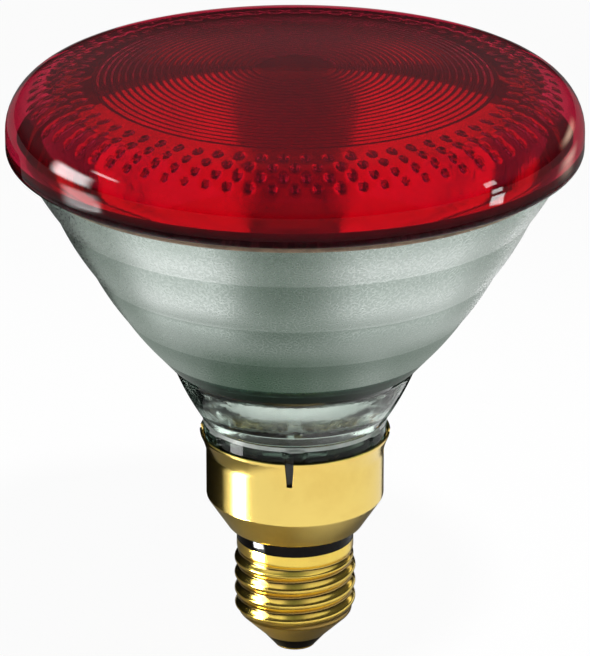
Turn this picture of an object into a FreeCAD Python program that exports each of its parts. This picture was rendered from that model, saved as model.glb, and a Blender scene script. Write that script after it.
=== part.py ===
"""Infrared reflector lamp: red pressed-glass lens, banded glass reflector and skirted screw cap.

Millimetres. The lamp's axis is +Z and its origin is the middle of the contact's bottom face.
"""
import FreeCAD, Part
import math
import os
import Sketcher

FULL_TURN = 360
QUARTER_TURN = 90
ORIGIN_POINT = (-1, 1)
LEVEL_AXIS_INDEX = -1
LAMP_AXIS_INDEX = -2
CENTRE_POINT_INDEX = 3
TOUCH = 1e-4
RIDGE_CHORDS = 6
SHOULDER_CHORDS = 5

# Driving sizes: radii are measured from the lamp's axis, heights along it
DRIVING_SIZES = {
    # Contact and its solder drop
    "solder_face_radius": "1.6",
    "solder_radius": "3.3",
    "solder_height": "0.9",
    "solder_curve": "2.2",
    "contact_radius": "4.4",
    "contact_thickness": "0.5",
    "eyelet_bore_radius": "1.1",
    "eyelet_wall": "0.4",
    "eyelet_height": "2.0",
    # Black glass under the screw shell
    "glass_cone_radius": "4.7",
    "glass_cone_height": "2.7",
    "glass_plug_height": "3.9",
    # Screw shell with its rolled thread
    "shell_mouth_radius": "7.0",
    "shell_cone_height": "5.1",
    "shell_wall": "0.4",
    "thread_root_radius": "12.2",
    "thread_depth": "0.9",
    "thread_width": "2.6",
    "thread_pitch": "3.629",
    "thread_length": "14.3",
    "thread_turn": "180",
    "shell_step_height": "0.8",
    "shell_band_radius": "12.6",
    "shell_band_height": "2.2",
    # Insulating ring between the shell and the skirt
    "ring_radius": "12.6",
    "ring_height": "3.2",
    "ring_bore_radius": "10.0",
    "ring_spigot_radius": "11.5",
    "ring_spigot_height": "1.3",
    "ring_edge": "0.3",
    # Brass skirt
    "skirt_foot_radius": "14.5",
    "skirt_cone_height": "7.0",
    "skirt_radius": "19.05",
    "skirt_body_height": "10.4",
    "skirt_corner": "0.6",
    "skirt_wall": "0.45",
    "lip_radius": "20.4",
    "lip_height": "4.2",
    "slot_mouth": "1.9",
    "slot_foot": "1.2",
    "slot_depth": "5.7",
    "slot_turn": "-3.5",
    "slot_count": "4",
    # Reflector glass
    "foot_depth": "6.0",
    "foot_wall": "3.6",
    "foot_rise": "3.6",
    "shoulder_radius": "20.5",
    "shoulder_height": "1.3",
    "neck_radius": "25.9",
    "neck_height": "10.7",
    "neck_curve": "60.0",
    "band_one_radius": "30.5",
    "band_one_rise": "5.2",
    "band_two_radius": "36.7",
    "band_two_rise": "8.0",
    "band_three_radius": "43.1",
    "band_three_rise": "10.2",
    "band_four_radius": "50.4",
    "band_four_rise": "12.6",
    "bowl_rise": "9.6",
    "band_curve": "60.0",
    "bowl_wall": "3.4",
    "throat_wall": "3.8",
    "well_radius": "16.4",
    "well_height": "2.8",
    "floor_thickness": "4.0",
    "lug_width": "4.4",
    "lug_height": "2.8",
    "lug_depth": "0.5",
    "lug_count": "6",
    # Seal and lens
    "seal_height": "1.8",
    "seal_proud": "0.3",
    "lens_radius": "60.45",
    "lens_overhang": "4.2",
    "lens_height": "19.7",
    "lens_wall": "4.2",
    "lens_rim_wall": "5.2",
    "crown_curve": "300.0",
    "lens_shoulder": "10.0",
    "lens_inner_corner": "4.8",
    "lens_edge": "2.0",
    "relief_disc_radius": "8.1",
    "relief_pitch": "1.43",
    "relief_depth": "0.25",
    "relief_count": "23",
    # Filament mount, ferrules and exhaust tube
    "post_offset": "8.5",
    "post_radius": "0.9",
    "post_height": "15.1",
    "ferrule_radius": "3.0",
    "ferrule_wall": "0.5",
    "ferrule_stand": "1.0",
    "ferrule_flange": "0.8",
    "ferrule_tail": "1.2",
    "bridge_radius": "1.7",
    "bridge_rise": "6.0",
    "bridge_overhang": "2.2",
    "filament_radius": "0.8",
    "filament_drop": "1.1",
    "hook_wire_radius": "0.25",
    "hook_eye_width": "0.7",
    "hook_foot_depth": "1.0",
    "tube_radius": "2.4",
    "tube_wall": "0.9",
    "tube_length": "10.5",
    "tube_tip_height": "2.5",
    # Wires inside the cap
    "wire_radius": "0.45",
    "live_bend_low": "20.0",
    "live_bend_high": "38.0",
    "return_foot": "10.0",
    "return_bend_low": "15.0",
    "return_bend_high": "22.0",
    # Clearances between seated pieces
    "seat_gap": "0.05",
    "plug_gap": "0.1",
    "foot_gap": "0.25",
}

# Places and sizes worked out from the driving ones
WORKED_OUT_SIZES = {
    "contact_top": "=solder_height + contact_thickness",
    "eyelet_radius": "=eyelet_bore_radius + eyelet_wall",
    "eyelet_top": "=contact_top + eyelet_height",
    "glass_bore_radius": "=eyelet_radius + seat_gap",
    "shell_foot": "=contact_top + glass_cone_height",
    "shell_mouth_inner": "=shell_mouth_radius - shell_wall",
    "thread_foot": "=shell_foot + shell_cone_height",
    "thread_top": "=thread_foot + thread_length",
    "thread_inner": "=thread_root_radius - shell_wall",
    "thread_bed": "=thread_root_radius - shell_wall / 4",
    "thread_end": "=thread_foot + thread_width",
    "thread_climb": "=thread_length - thread_width",
    "band_foot": "=thread_top + shell_step_height",
    "band_inner": "=shell_band_radius - shell_wall",
    "shell_top": "=band_foot + shell_band_height",
    "plug_slope": "=(thread_inner - shell_mouth_inner) / shell_cone_height",
    "plug_foot_radius": "=shell_mouth_inner - plug_gap",
    "plug_top_radius": "=plug_foot_radius + plug_slope * glass_plug_height",
    "plug_top": "=shell_foot + glass_plug_height",
    "ring_plug_radius": "=band_inner - plug_gap",
    "ring_plug_foot": "=band_foot + plug_gap",
    "ring_top": "=shell_top + ring_height",
    "ring_spigot_top": "=ring_top + ring_spigot_height",
    "skirt_hole_radius": "=ring_spigot_radius + seat_gap",
    "skirt_floor": "=ring_top + skirt_wall",
    "skirt_foot_inner": "=skirt_foot_radius - skirt_wall",
    "skirt_shoulder": "=ring_top + skirt_cone_height",
    "skirt_inner": "=skirt_radius - skirt_wall",
    "lip_foot": "=skirt_shoulder + skirt_body_height",
    "lip_top": "=lip_foot + lip_height",
    "lip_inner": "=lip_radius - skirt_wall",
    "slot_foot_half": "=slot_foot / 2",
    "slot_foot_curve": "=slot_foot * 1.2",
    "slot_end": "=lip_top - slot_depth + slot_foot_curve"
                " - sqrt(pow(slot_foot_curve; 2) - pow(slot_foot_half; 2))",
    "slot_mouth_half": "=slot_mouth / 2",
    "foot_radius": "=skirt_inner - foot_gap",
    "foot_bottom": "=lip_top - foot_depth",
    "foot_lip_radius": "=lip_inner - foot_gap",
    "foot_inner": "=foot_radius - foot_wall",
    "foot_top": "=lip_top + foot_rise",
    "shoulder_level": "=foot_top + shoulder_height",
    "neck_top": "=shoulder_level + neck_height",
    "band_one": "=neck_top + band_one_rise",
    "band_two": "=band_one + band_two_rise",
    "band_three": "=band_two + band_three_rise",
    "band_four": "=band_three + band_four_rise",
    "bowl_top": "=band_four + bowl_rise",
    "bowl_radius": "=lens_radius - lens_overhang",
    "bowl_inner": "=bowl_radius - bowl_wall",
    "mirror_four": "=band_four_radius - bowl_wall",
    "mirror_three": "=band_three_radius - bowl_wall",
    "mirror_two": "=band_two_radius - bowl_wall",
    "mirror_one": "=band_one_radius - bowl_wall",
    "throat_radius": "=neck_radius - throat_wall",
    "floor_bottom": "=foot_top - floor_thickness",
    "well_top": "=foot_top + well_height",
    "tube_hole_radius": "=tube_radius + seat_gap",
    "lug_bottom": "=lip_top + foot_rise / 2 - lug_height / 2",
    "lug_top": "=lug_bottom + lug_height",
    "lug_end_curve": "=lug_height * 0.55",
    "lug_half_run": "=(lug_width - lug_height) / 2",
    "lug_root": "=foot_lip_radius - lug_depth",
    "seal_top": "=bowl_top + seal_height",
    "seal_outer": "=bowl_radius + seal_proud",
    "lens_top": "=seal_top + lens_height",
    "crown_centre": "=lens_top - crown_curve",
    "crown_inner_curve": "=crown_curve - lens_wall",
    "crown_inner_top": "=crown_centre + crown_inner_curve",
    "lens_rim_foot": "=seal_top + lens_edge",
    "lens_rim_foot_radius": "=lens_radius - lens_edge",
    "shoulder_centre_radius": "=lens_radius - lens_shoulder",
    "shoulder_centre": "=crown_centre + sqrt(pow(crown_curve - lens_shoulder; 2)"
                       " - pow(shoulder_centre_radius; 2))",
    "shoulder_sweep": "=acos(shoulder_centre_radius / (crown_curve - lens_shoulder))",
    "lens_bore": "=lens_radius - lens_rim_wall",
    "lens_roof_radius": "=lens_bore - lens_inner_corner",
    "lens_roof": "=crown_centre + sqrt(pow(crown_inner_curve; 2) - pow(lens_roof_radius; 2))",
    "lens_corner": "=lens_roof - lens_inner_corner",
    "ferrule_top": "=foot_top + ferrule_stand",
    "ferrule_roof": "=ferrule_top - ferrule_wall",
    "ferrule_foot": "=floor_bottom - ferrule_tail",
    "ferrule_flange_foot": "=floor_bottom - ferrule_wall",
    "ferrule_inner": "=ferrule_radius - ferrule_wall",
    "ferrule_flange_radius": "=ferrule_radius + ferrule_flange",
    "ferrule_hole_radius": "=ferrule_radius + seat_gap",
    "post_top": "=ferrule_top + post_height",
    "filament_level": "=post_top - filament_drop",
    "filament_half": "=post_offset - post_radius - seat_gap",
    "bridge_level": "=ferrule_top + bridge_rise",
    "bridge_half": "=post_offset + bridge_overhang",
    "post_hole_radius": "=post_radius + seat_gap",
    "hook_hole_radius": "=hook_wire_radius + seat_gap",
    "hook_bore_radius": "=filament_radius + seat_gap",
    "hook_eye_half": "=hook_eye_width / 2",
    "hook_eye_radius": "=hook_bore_radius + 2 * hook_wire_radius",
    "hook_foot": "=bridge_level + bridge_radius - hook_foot_depth",
    "hook_stem": "=filament_level - hook_bore_radius - hook_wire_radius - hook_foot",
    "tube_inner": "=tube_radius - tube_wall",
    "tube_shoulder": "=foot_top - tube_length",
    "tube_tip": "=tube_shoulder - tube_tip_height",
    "tube_tip_inner": "=tube_shoulder - tube_tip_height + tube_wall",
    "live_low": "=live_bend_low - solder_height",
    "live_high": "=live_bend_high - solder_height",
    "live_top": "=ferrule_roof - solder_height",
    "return_offset": "=thread_inner - wire_radius - seat_gap",
    "return_shift": "=return_offset - post_offset",
    "return_low": "=return_bend_low - return_foot",
    "return_high": "=return_bend_high - return_foot",
    "return_top": "=ferrule_roof - return_foot",
}

doc = FreeCAD.newDocument("infrared_lamp")
sizes = doc.addObject("Spreadsheet::Sheet", "sizes")
pieces = []


def fill_sheet():
    """Write every size to the sheet, with its name beside it."""
    rows = {**DRIVING_SIZES, **WORKED_OUT_SIZES}
    for row, (alias, content) in enumerate(rows.items(), start=1):
        sizes.set(f"A{row}", alias)
        sizes.set(f"B{row}", content)
        sizes.setAlias(f"B{row}", alias)
    doc.recompute()


def bound(size):
    """Return the expression for a size's name, which a minus may lead, or the expression itself."""
    name = size.lstrip("-")
    return size.replace(name, f"sizes.{name}") if name.isidentifier() else size


def value(size):
    """Return the present number of a size or an expression."""
    return float(sizes.evalExpression(bound(size)))


def new_body(label):
    """Start a body that is one piece of the lamp."""
    body = doc.addObject("PartDesign::Body", label)
    body.Label = label
    pieces.append(body)
    return body


def new_sketch(body, plane, name):
    """Start a sketch on one of the body's own origin planes."""
    sketch = body.newObject("Sketcher::SketchObject", f"{body.Label}_{name}")
    support = next(item for item in body.Origin.OriginFeatures if item.Role == plane)
    sketch.AttachmentSupport = [(support, "")]
    sketch.MapMode = "FlatFace"
    return sketch


def pin_point(sketch, edge, end, across, up):
    """Hold one end of a sketch edge at its distances from the origin."""
    for kind, axis, size in (("DistanceX", LAMP_AXIS_INDEX, across), ("DistanceY", LEVEL_AXIS_INDEX, up)):
        if size == "0":
            sketch.addConstraint(Sketcher.Constraint("PointOnObject", edge, end, axis))
            continue
        ends = (*ORIGIN_POINT, edge, end)
        if size.startswith("-"):
            ends = (edge, end, *ORIGIN_POINT)
        length = size.lstrip("-")
        held = Sketcher.Constraint(kind, *ends, value(length))
        sketch.setExpression(f"Constraints[{sketch.addConstraint(held)}]", bound(length))


def bulged_arc(start, finish, radius):
    """Return the arc from start to finish that bulges to the right of its way."""
    chord = finish - start
    reach = max(abs(radius), chord.Length / 2)
    depth = reach - (reach ** 2 - (chord.Length / 2) ** 2) ** 0.5
    right = FreeCAD.Vector(chord.y, -chord.x, 0).normalize()
    middle = (start + finish) / 2 + right * depth * (1 if radius > 0 else -1)
    return Part.Arc(start, middle, finish)


def draw_outline(sketch, outline, closed=True):
    """Draw points joined by lines, or by arcs where a point names a radius for the edge after it."""
    corners = [FreeCAD.Vector(value(point[0]), value(point[1]), 0) for point in outline]
    count = len(outline) if closed else len(outline) - 1
    for index in range(count):
        start = corners[index]
        finish = corners[(index + 1) % len(corners)]
        if len(outline[index]) > 2:
            name = outline[index][2]
            outward = not name.startswith("-")
            radius = value(name.lstrip("-")) * (1 if outward else -1)
            sketch.addGeometry(bulged_arc(start, finish, radius), False)
        else:
            sketch.addGeometry(Part.LineSegment(start, finish), False)
    arcs = {index for index in range(count) if len(outline[index]) > 2}
    head = dict.fromkeys(range(count), 1)
    tail = dict.fromkeys(range(count), 2)
    for index in arcs:
        head[index], tail[index] = arc_ends(sketch, index, corners[index])
    for index in range(count if closed else count - 1):
        after = (index + 1) % count
        sketch.addConstraint(Sketcher.Constraint("Coincident", index, tail[index], after, head[after]))
    for index in range(count):
        pin_point(sketch, index, head[index], *outline[index][:2])
    if not closed:
        pin_point(sketch, count - 1, tail[count - 1], *outline[-1][:2])
    for index in arcs:
        name = outline[index][2].lstrip("-")
        held = sketch.addConstraint(Sketcher.Constraint("Radius", index, value(name)))
        sketch.setExpression(f"Constraints[{held}]", bound(name))


def arc_ends(sketch, index, start):
    """Return which of an arc's two ends is its first corner, and which its last."""
    first = sketch.getPoint(index, 1)
    return (1, 2) if first.distanceToPoint(start) < TOUCH else (2, 1)


def turn(body, outline):
    """Turn an outline, given as radius and level, into a solid about the body's axis."""
    sketch = new_sketch(body, "XZ_Plane", "outline")
    draw_outline(sketch, outline)
    solid = body.newObject("PartDesign::Revolution", f"{body.Label}_turned")
    solid.Profile = sketch
    solid.ReferenceAxis = (sketch, ["V_Axis"])
    solid.Angle = FULL_TURN
    doc.recompute()
    return solid


def turned_body(label, outline):
    """Make a piece that is turned from one outline."""
    body = new_body(label)
    turn(body, outline)
    return body


def bevel_edge(body, bevel, edge_radius, level):
    """Bevel the circular edge of a body that has this radius and level."""
    base = body.Tip
    found = []
    for number, edge in enumerate(base.Shape.Edges, start=1):
        if edge.Degenerated or not isinstance(edge.Curve, Part.Circle):
            continue
        curve = edge.Curve
        near = abs(curve.Radius - value(edge_radius)) < TOUCH
        if near and abs(curve.Center.z - value(level)) < TOUCH and abs(curve.Axis.z) > 1 - TOUCH:
            found.append(f"Edge{number}")
    cut = body.newObject("PartDesign::Chamfer", f"{body.Label}_bevel")
    cut.Base = (base, found)
    cut.Size = value(bevel)
    cut.setExpression("Size", bound(bevel))
    doc.recompute()


def pattern_round(body, feature, count_size):
    """Repeat a feature evenly round the lamp's axis."""
    pattern = body.newObject("PartDesign::PolarPattern", f"{body.Label}_pattern")
    pattern.Originals = [feature]
    pattern.Axis = (feature.Profile[0], ["V_Axis"])
    pattern.Angle = FULL_TURN
    pattern.setExpression("Occurrences", bound(count_size))
    body.Tip = pattern
    doc.recompute()
    return pattern


def place(item, **where):
    """Bind an object's position along x, y or z to sizes."""
    for axis, size in where.items():
        item.setExpression(f"Placement.Base.{axis}", bound(size))


def rod(name, radius, length, across=False, **where):
    """Make a plain round rod, upright or lying along x."""
    item = doc.addObject("Part::Cylinder", name)
    item.setExpression("Radius", bound(radius))
    item.setExpression("Height", bound(length))
    if across:
        item.Placement.Rotation = FreeCAD.Rotation(FreeCAD.Vector(0, 1, 0), QUARTER_TURN)
    place(item, **where)
    return item


def as_piece(item, label):
    """Name a finished object as one piece of the lamp."""
    item.Label = label
    pieces.append(item)
    return item


def make_contact():
    """Contact plate with its eyelet, and the solder drop under it."""
    turned_body("contact_solder", [
        ("0", "0"),
        ("solder_face_radius", "0", "solder_curve"),
        ("solder_radius", "solder_height"),
        ("0", "solder_height"),
    ])
    turned_body("centre_contact", [
        ("eyelet_bore_radius", "solder_height"),
        ("contact_radius", "solder_height"),
        ("contact_radius", "contact_top"),
        ("eyelet_radius", "contact_top"),
        ("eyelet_radius", "eyelet_top"),
        ("eyelet_bore_radius", "eyelet_top"),
    ])


def make_base_insulator():
    """Black glass cone that carries the contact and plugs the shell's mouth."""
    turned_body("base_insulator", [
        ("glass_bore_radius", "contact_top"),
        ("glass_cone_radius", "contact_top"),
        ("shell_mouth_radius", "shell_foot"),
        ("plug_foot_radius", "shell_foot"),
        ("plug_top_radius", "plug_top"),
        ("glass_bore_radius", "plug_top"),
    ])


def make_screw_shell():
    """Brass shell whose knuckle thread is a helical ridge on its wall."""
    body = turned_body("screw_shell", [
        ("shell_mouth_inner", "shell_foot"),
        ("shell_mouth_radius", "shell_foot"),
        ("thread_root_radius", "thread_foot"),
        ("thread_root_radius", "thread_top"),
        ("shell_band_radius", "band_foot"),
        ("shell_band_radius", "shell_top"),
        ("band_inner", "shell_top"),
        ("band_inner", "band_foot"),
        ("thread_inner", "thread_top"),
        ("thread_inner", "thread_foot"),
    ])
    ridge = new_sketch(body, "XZ_Plane", "ridge")
    draw_outline(ridge, ridge_profile())
    thread = body.newObject("PartDesign::AdditiveHelix", "screw_shell_thread")
    thread.Profile = ridge
    thread.ReferenceAxis = (ridge, ["V_Axis"])
    thread.Mode = "pitch-height-angle"
    thread.setExpression("Pitch", bound("thread_pitch"))
    thread.setExpression("Height", bound("thread_climb"))
    doc.recompute()
    body.setExpression("Placement.Rotation.Angle", bound("thread_turn"))


def ridge_profile():
    """Return the ridge's round section as chords, from its lower to its upper foot."""
    profile = [("thread_bed", "thread_foot")]
    for step in range(RIDGE_CHORDS + 1):
        swing = math.pi * (step / RIDGE_CHORDS)
        height = f"sizes.thread_root_radius + {math.sin(swing):.5f} * sizes.thread_depth"
        along = f"sizes.thread_foot + {(1 - math.cos(swing)) / 2:.5f} * sizes.thread_width"
        profile.append((height, along))
    profile.append(("thread_bed", "thread_end"))
    return profile


def make_skirt_insulator():
    """Black ring that plugs the shell and carries the skirt."""
    body = turned_body("skirt_insulator", [
        ("ring_bore_radius", "ring_plug_foot"),
        ("ring_plug_radius", "ring_plug_foot"),
        ("ring_plug_radius", "shell_top"),
        ("ring_radius", "shell_top"),
        ("ring_radius", "ring_top"),
        ("ring_spigot_radius", "ring_top"),
        ("ring_spigot_radius", "ring_spigot_top"),
        ("ring_bore_radius", "ring_spigot_top"),
    ])
    for level in ("ring_top", "shell_top"):
        bevel_edge(body, "ring_edge", "ring_radius", level)


def make_skirt():
    """Drawn brass sleeve with a flared lip, slotted so that it grips the glass foot."""
    body = turned_body("skirt", [
        ("skirt_hole_radius", "ring_top"),
        ("skirt_foot_radius", "ring_top"),
        ("skirt_radius", "skirt_shoulder"),
        ("skirt_radius", "lip_foot"),
        ("lip_radius", "lip_top"),
        ("lip_inner", "lip_top"),
        ("skirt_inner", "lip_foot"),
        ("skirt_inner", "skirt_shoulder"),
        ("skirt_foot_inner", "skirt_floor"),
        ("skirt_hole_radius", "skirt_floor"),
    ])
    bevel_edge(body, "skirt_corner", "skirt_radius", "skirt_shoulder")
    sketch = new_sketch(body, "XZ_Plane", "slot")
    draw_outline(sketch, [
        ("-slot_foot_half", "slot_end", "slot_foot_curve"),
        ("slot_foot_half", "slot_end"),
        ("slot_mouth_half", "lip_top"),
        ("-slot_mouth_half", "lip_top"),
    ])
    slot = body.newObject("PartDesign::Pocket", "skirt_slot")
    slot.Profile = sketch
    slot.Type = "Length"
    slot.Reversed = True
    slot.setExpression("Length", "2 * sizes.lip_radius")
    doc.recompute()
    pattern_round(body, slot, "slot_count")
    body.setExpression("Placement.Rotation.Angle", bound("slot_turn"))


def make_reflector():
    """Pressed-glass bowl with stepped bands, a clear neck and a foot that stands in the skirt."""
    body = turned_body("reflector", [
        ("foot_inner", "foot_bottom"),
        ("foot_radius", "foot_bottom"),
        ("foot_radius", "lip_foot"),
        ("foot_lip_radius", "lip_top"),
        ("foot_lip_radius", "foot_top"),
        ("shoulder_radius", "shoulder_level", "neck_curve"),
        ("neck_radius", "neck_top"),
        ("band_one_radius", "band_one", "band_curve"),
        ("band_two_radius", "band_two", "band_curve"),
        ("band_three_radius", "band_three", "band_curve"),
        ("band_four_radius", "band_four", "band_curve"),
        ("bowl_radius", "bowl_top"),
        ("bowl_inner", "bowl_top"),
        ("mirror_four", "band_four"),
        ("mirror_three", "band_three"),
        ("mirror_two", "band_two"),
        ("mirror_one", "band_one"),
        ("throat_radius", "neck_top"),
        ("well_radius", "well_top"),
        ("well_radius", "foot_top"),
        ("tube_hole_radius", "foot_top"),
        ("tube_hole_radius", "floor_bottom"),
        ("foot_inner", "floor_bottom"),
    ])
    holes = new_sketch(body, "XY_Plane", "ferrule_holes")
    for side in (1, -1):
        draw_circle(holes, "ferrule_hole_radius", side)
    bored = body.newObject("PartDesign::Pocket", "reflector_ferrule_bores")
    bored.Profile = holes
    bored.Type = "ThroughAll"
    bored.Reversed = True
    doc.recompute()
    outline = new_sketch(body, "XZ_Plane", "lug")
    outline.setExpression("AttachmentOffset.Base.z", bound("lug_root"))
    draw_outline(outline, [
        ("-lug_half_run", "lug_bottom"),
        ("lug_half_run", "lug_bottom", "lug_end_curve"),
        ("lug_half_run", "lug_top"),
        ("-lug_half_run", "lug_top", "lug_end_curve"),
    ])
    lug = body.newObject("PartDesign::Pad", "reflector_lug")
    lug.Profile = outline
    lug.setExpression("Length", "2 * sizes.lug_depth")
    doc.recompute()
    pattern_round(body, lug, "lug_count")


def draw_circle(sketch, radius, side):
    """Draw a circle whose centre is a post's offset to one side of the axis."""
    centre = FreeCAD.Vector(side * value("post_offset"), 0, 0)
    index = sketch.addGeometry(Part.Circle(centre, FreeCAD.Vector(0, 0, 1), value(radius)), False)
    pin_point(sketch, index, CENTRE_POINT_INDEX, "post_offset" if side > 0 else "-post_offset", "0")
    held = sketch.addConstraint(Sketcher.Constraint("Radius", index, value(radius)))
    sketch.setExpression(f"Constraints[{held}]", bound(radius))


def make_lens():
    """Red domed lens with a thick rim and rings pressed into its inner face."""
    outline = [
        ("bowl_inner", "seal_top"),
        ("lens_rim_foot_radius", "seal_top", "lens_edge"),
        ("lens_radius", "lens_rim_foot"),
        *shoulder_profile(),
        ("0", "lens_top"),
        ("0", "crown_inner_top", "-crown_inner_curve"),
        ("relief_disc_radius", inner_crown("sizes.relief_disc_radius")),
    ]
    for ring in range(int(value("relief_count"))):
        ridge = f"(sizes.relief_disc_radius + {ring + 0.5} * sizes.relief_pitch)"
        valley = f"(sizes.relief_disc_radius + {ring + 1} * sizes.relief_pitch)"
        outline.append((ridge, f"{inner_crown(ridge)} - sizes.relief_depth"))
        outline.append((valley, inner_crown(valley)))
    outline[-1] += ("-crown_inner_curve",)
    outline.append(("lens_roof_radius", "lens_roof", "-lens_inner_corner"))
    outline.append(("lens_bore", "lens_corner"))
    turned_body("lens", outline)


def shoulder_profile():
    """Return the rounded shoulder as chords, from the rim up to where the crown meets it."""
    profile = []
    for step in range(SHOULDER_CHORDS + 1):
        swing = f"sizes.shoulder_sweep * {step / SHOULDER_CHORDS:.5f}"
        radius = f"sizes.shoulder_centre_radius + sizes.lens_shoulder * cos({swing})"
        profile.append((radius, f"sizes.shoulder_centre + sizes.lens_shoulder * sin({swing})"))
    profile[-1] += ("crown_curve",)
    return profile


def inner_crown(radius):
    """Return the expression for the level of the lens's inner crown at a radius."""
    return f"sizes.crown_centre + sqrt(pow(sizes.crown_inner_curve; 2) - pow({radius}; 2))"


def make_seal():
    """Ring of sealing compound between the bowl's rim and the lens."""
    turned_body("rim_seal", [
        ("bowl_inner", "bowl_top"),
        ("seal_outer", "bowl_top"),
        ("seal_outer", "seal_top"),
        ("bowl_inner", "seal_top"),
    ])


def make_ferrule(label, offset):
    """Metal cup sealed through the glass floor, with a flange against its underside."""
    body = turned_body(label, [
        ("ferrule_inner", "ferrule_foot"),
        ("ferrule_radius", "ferrule_foot"),
        ("ferrule_radius", "ferrule_flange_foot"),
        ("ferrule_flange_radius", "ferrule_flange_foot"),
        ("ferrule_flange_radius", "floor_bottom"),
        ("ferrule_radius", "floor_bottom"),
        ("ferrule_radius", "ferrule_top"),
        ("0", "ferrule_top"),
        ("0", "ferrule_roof"),
        ("ferrule_inner", "ferrule_roof"),
    ])
    place(body, x=offset)


def make_exhaust_tube():
    """Glass tube under the floor, drawn to a closed tip."""
    turned_body("exhaust_tube", [
        ("tube_inner", "foot_top"),
        ("tube_inner", "tube_shoulder"),
        ("0", "tube_tip_inner"),
        ("0", "tube_tip"),
        ("tube_radius", "tube_shoulder"),
        ("tube_radius", "foot_top"),
    ])


def make_filament_mount():
    """Two posts tied by a glass bead, with the coil between them and a hook at its middle."""
    for side, offset in (("right", "post_offset"), ("left", "-post_offset")):
        make_ferrule(f"ferrule_{side}", offset)
        post = rod(f"post_{side}", "post_radius", "post_height", x=offset, z="ferrule_top")
        as_piece(post, f"lead_post_{side}")
    coil_length = "2 * sizes.filament_half"
    coil = rod("coil", "filament_radius", coil_length, True, x="-filament_half", z="filament_level")
    as_piece(coil, "filament")
    make_bridge()
    make_hook()


def make_bridge():
    """Glass bead through which both posts pass, and in which the hook stands."""
    bead_length = "2 * sizes.bridge_half"
    bead = rod("bead", "bridge_radius", bead_length, True, x="-bridge_half", z="bridge_level")
    holes = doc.addObject("Part::MultiFuse", "bead_holes")
    bores = [rod("hook_bore", "hook_hole_radius", "bridge_radius", z="hook_foot")]
    for name, offset in (("right_bore", "post_offset"), ("left_bore", "-post_offset")):
        bores.append(rod(name, "post_hole_radius", "post_height", x=offset, z="ferrule_top"))
    holes.Shapes = bores
    bridge = doc.addObject("Part::Cut", "bored_bead")
    bridge.Base = bead
    bridge.Tool = holes
    as_piece(bridge, "glass_bridge")


def make_hook():
    """Wire that stands in the bead and ends in an eye round the coil's middle."""
    seat = {"x": "-hook_eye_half", "z": "filament_level"}
    eye = doc.addObject("Part::Cut", "hook_eye")
    eye.Base = rod("eye_outside", "hook_eye_radius", "hook_eye_width", True, **seat)
    eye.Tool = rod("eye_bore", "hook_bore_radius", "hook_eye_width", True, **seat)
    hook = doc.addObject("Part::Fuse", "eyed_wire")
    hook.Base = eye
    hook.Tool = rod("hook_wire", "hook_wire_radius", "hook_stem", z="hook_foot")
    as_piece(hook, "filament_hook")


def bent_wire(label, route, **where):
    """Draw a round wire along a route that starts at the body's origin."""
    body = new_body(label)
    section = new_sketch(body, "XY_Plane", "section")
    circle = Part.Circle(FreeCAD.Vector(), FreeCAD.Vector(0, 0, 1), value("wire_radius"))
    index = section.addGeometry(circle, False)
    pin_point(section, index, CENTRE_POINT_INDEX, "0", "0")
    held = section.addConstraint(Sketcher.Constraint("Radius", index, value("wire_radius")))
    section.setExpression(f"Constraints[{held}]", bound("wire_radius"))
    path = new_sketch(body, "XZ_Plane", "route")
    draw_outline(path, route, closed=False)
    doc.recompute()
    wire = body.newObject("PartDesign::AdditivePipe", f"{label}_drawn")
    wire.Profile = section
    wire.Spine = (path, [f"Edge{run}" for run in range(1, len(route))])
    wire.Transition = "Round corner"
    place(body, **where)
    doc.recompute()


def make_wires():
    """Live wire from a ferrule down to the contact, and return wire from the other to the shell."""
    bent_wire("live_wire", [
        ("0", "0"),
        ("0", "live_low"),
        ("post_offset", "live_high"),
        ("post_offset", "live_top"),
    ], z="solder_height")
    bent_wire("return_wire", [
        ("0", "0"),
        ("0", "return_low"),
        ("return_shift", "return_high"),
        ("return_shift", "return_top"),
    ], x="-return_offset", z="return_foot")


fill_sheet()
make_contact()
make_base_insulator()
make_screw_shell()
make_skirt_insulator()
make_skirt()
make_reflector()
make_seal()
make_lens()
make_exhaust_tube()
make_filament_mount()
make_wires()
doc.recompute()

for item in doc.Objects:
    if "Invalid" in item.State or "Error" in item.State:
        raise RuntimeError(f"{item.Label} failed: {item.State}")
os.makedirs("parts", exist_ok=True)
for piece in pieces:
    if piece.Shape.isNull() or not piece.Shape.isValid():
        raise RuntimeError(f"{piece.Label} has no valid shape")
for piece in pieces:
    piece.Shape.exportStep(f"parts/{piece.Label}.step")
    print(piece.Label, len(piece.Shape.Solids), round(piece.Shape.Volume, 1))
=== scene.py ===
import logging
import math
from collections.abc import Callable, Sequence
from dataclasses import dataclass, field
from enum import Enum, IntEnum

import bpy
import numpy as np
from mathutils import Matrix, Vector


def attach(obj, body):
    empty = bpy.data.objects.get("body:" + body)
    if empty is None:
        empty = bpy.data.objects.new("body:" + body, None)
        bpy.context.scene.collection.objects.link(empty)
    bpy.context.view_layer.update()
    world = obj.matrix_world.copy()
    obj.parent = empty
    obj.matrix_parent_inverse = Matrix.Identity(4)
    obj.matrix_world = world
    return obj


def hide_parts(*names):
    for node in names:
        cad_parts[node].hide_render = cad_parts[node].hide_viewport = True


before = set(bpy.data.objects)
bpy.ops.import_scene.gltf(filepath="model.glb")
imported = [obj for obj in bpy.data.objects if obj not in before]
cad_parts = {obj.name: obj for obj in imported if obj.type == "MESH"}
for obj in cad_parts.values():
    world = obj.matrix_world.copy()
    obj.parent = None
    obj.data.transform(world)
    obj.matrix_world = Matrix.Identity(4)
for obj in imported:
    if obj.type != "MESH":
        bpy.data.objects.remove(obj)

LOG = logging.getLogger("infrared_lamp")
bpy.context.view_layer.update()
MM = 0.001
TURN = 2 * math.pi
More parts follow.
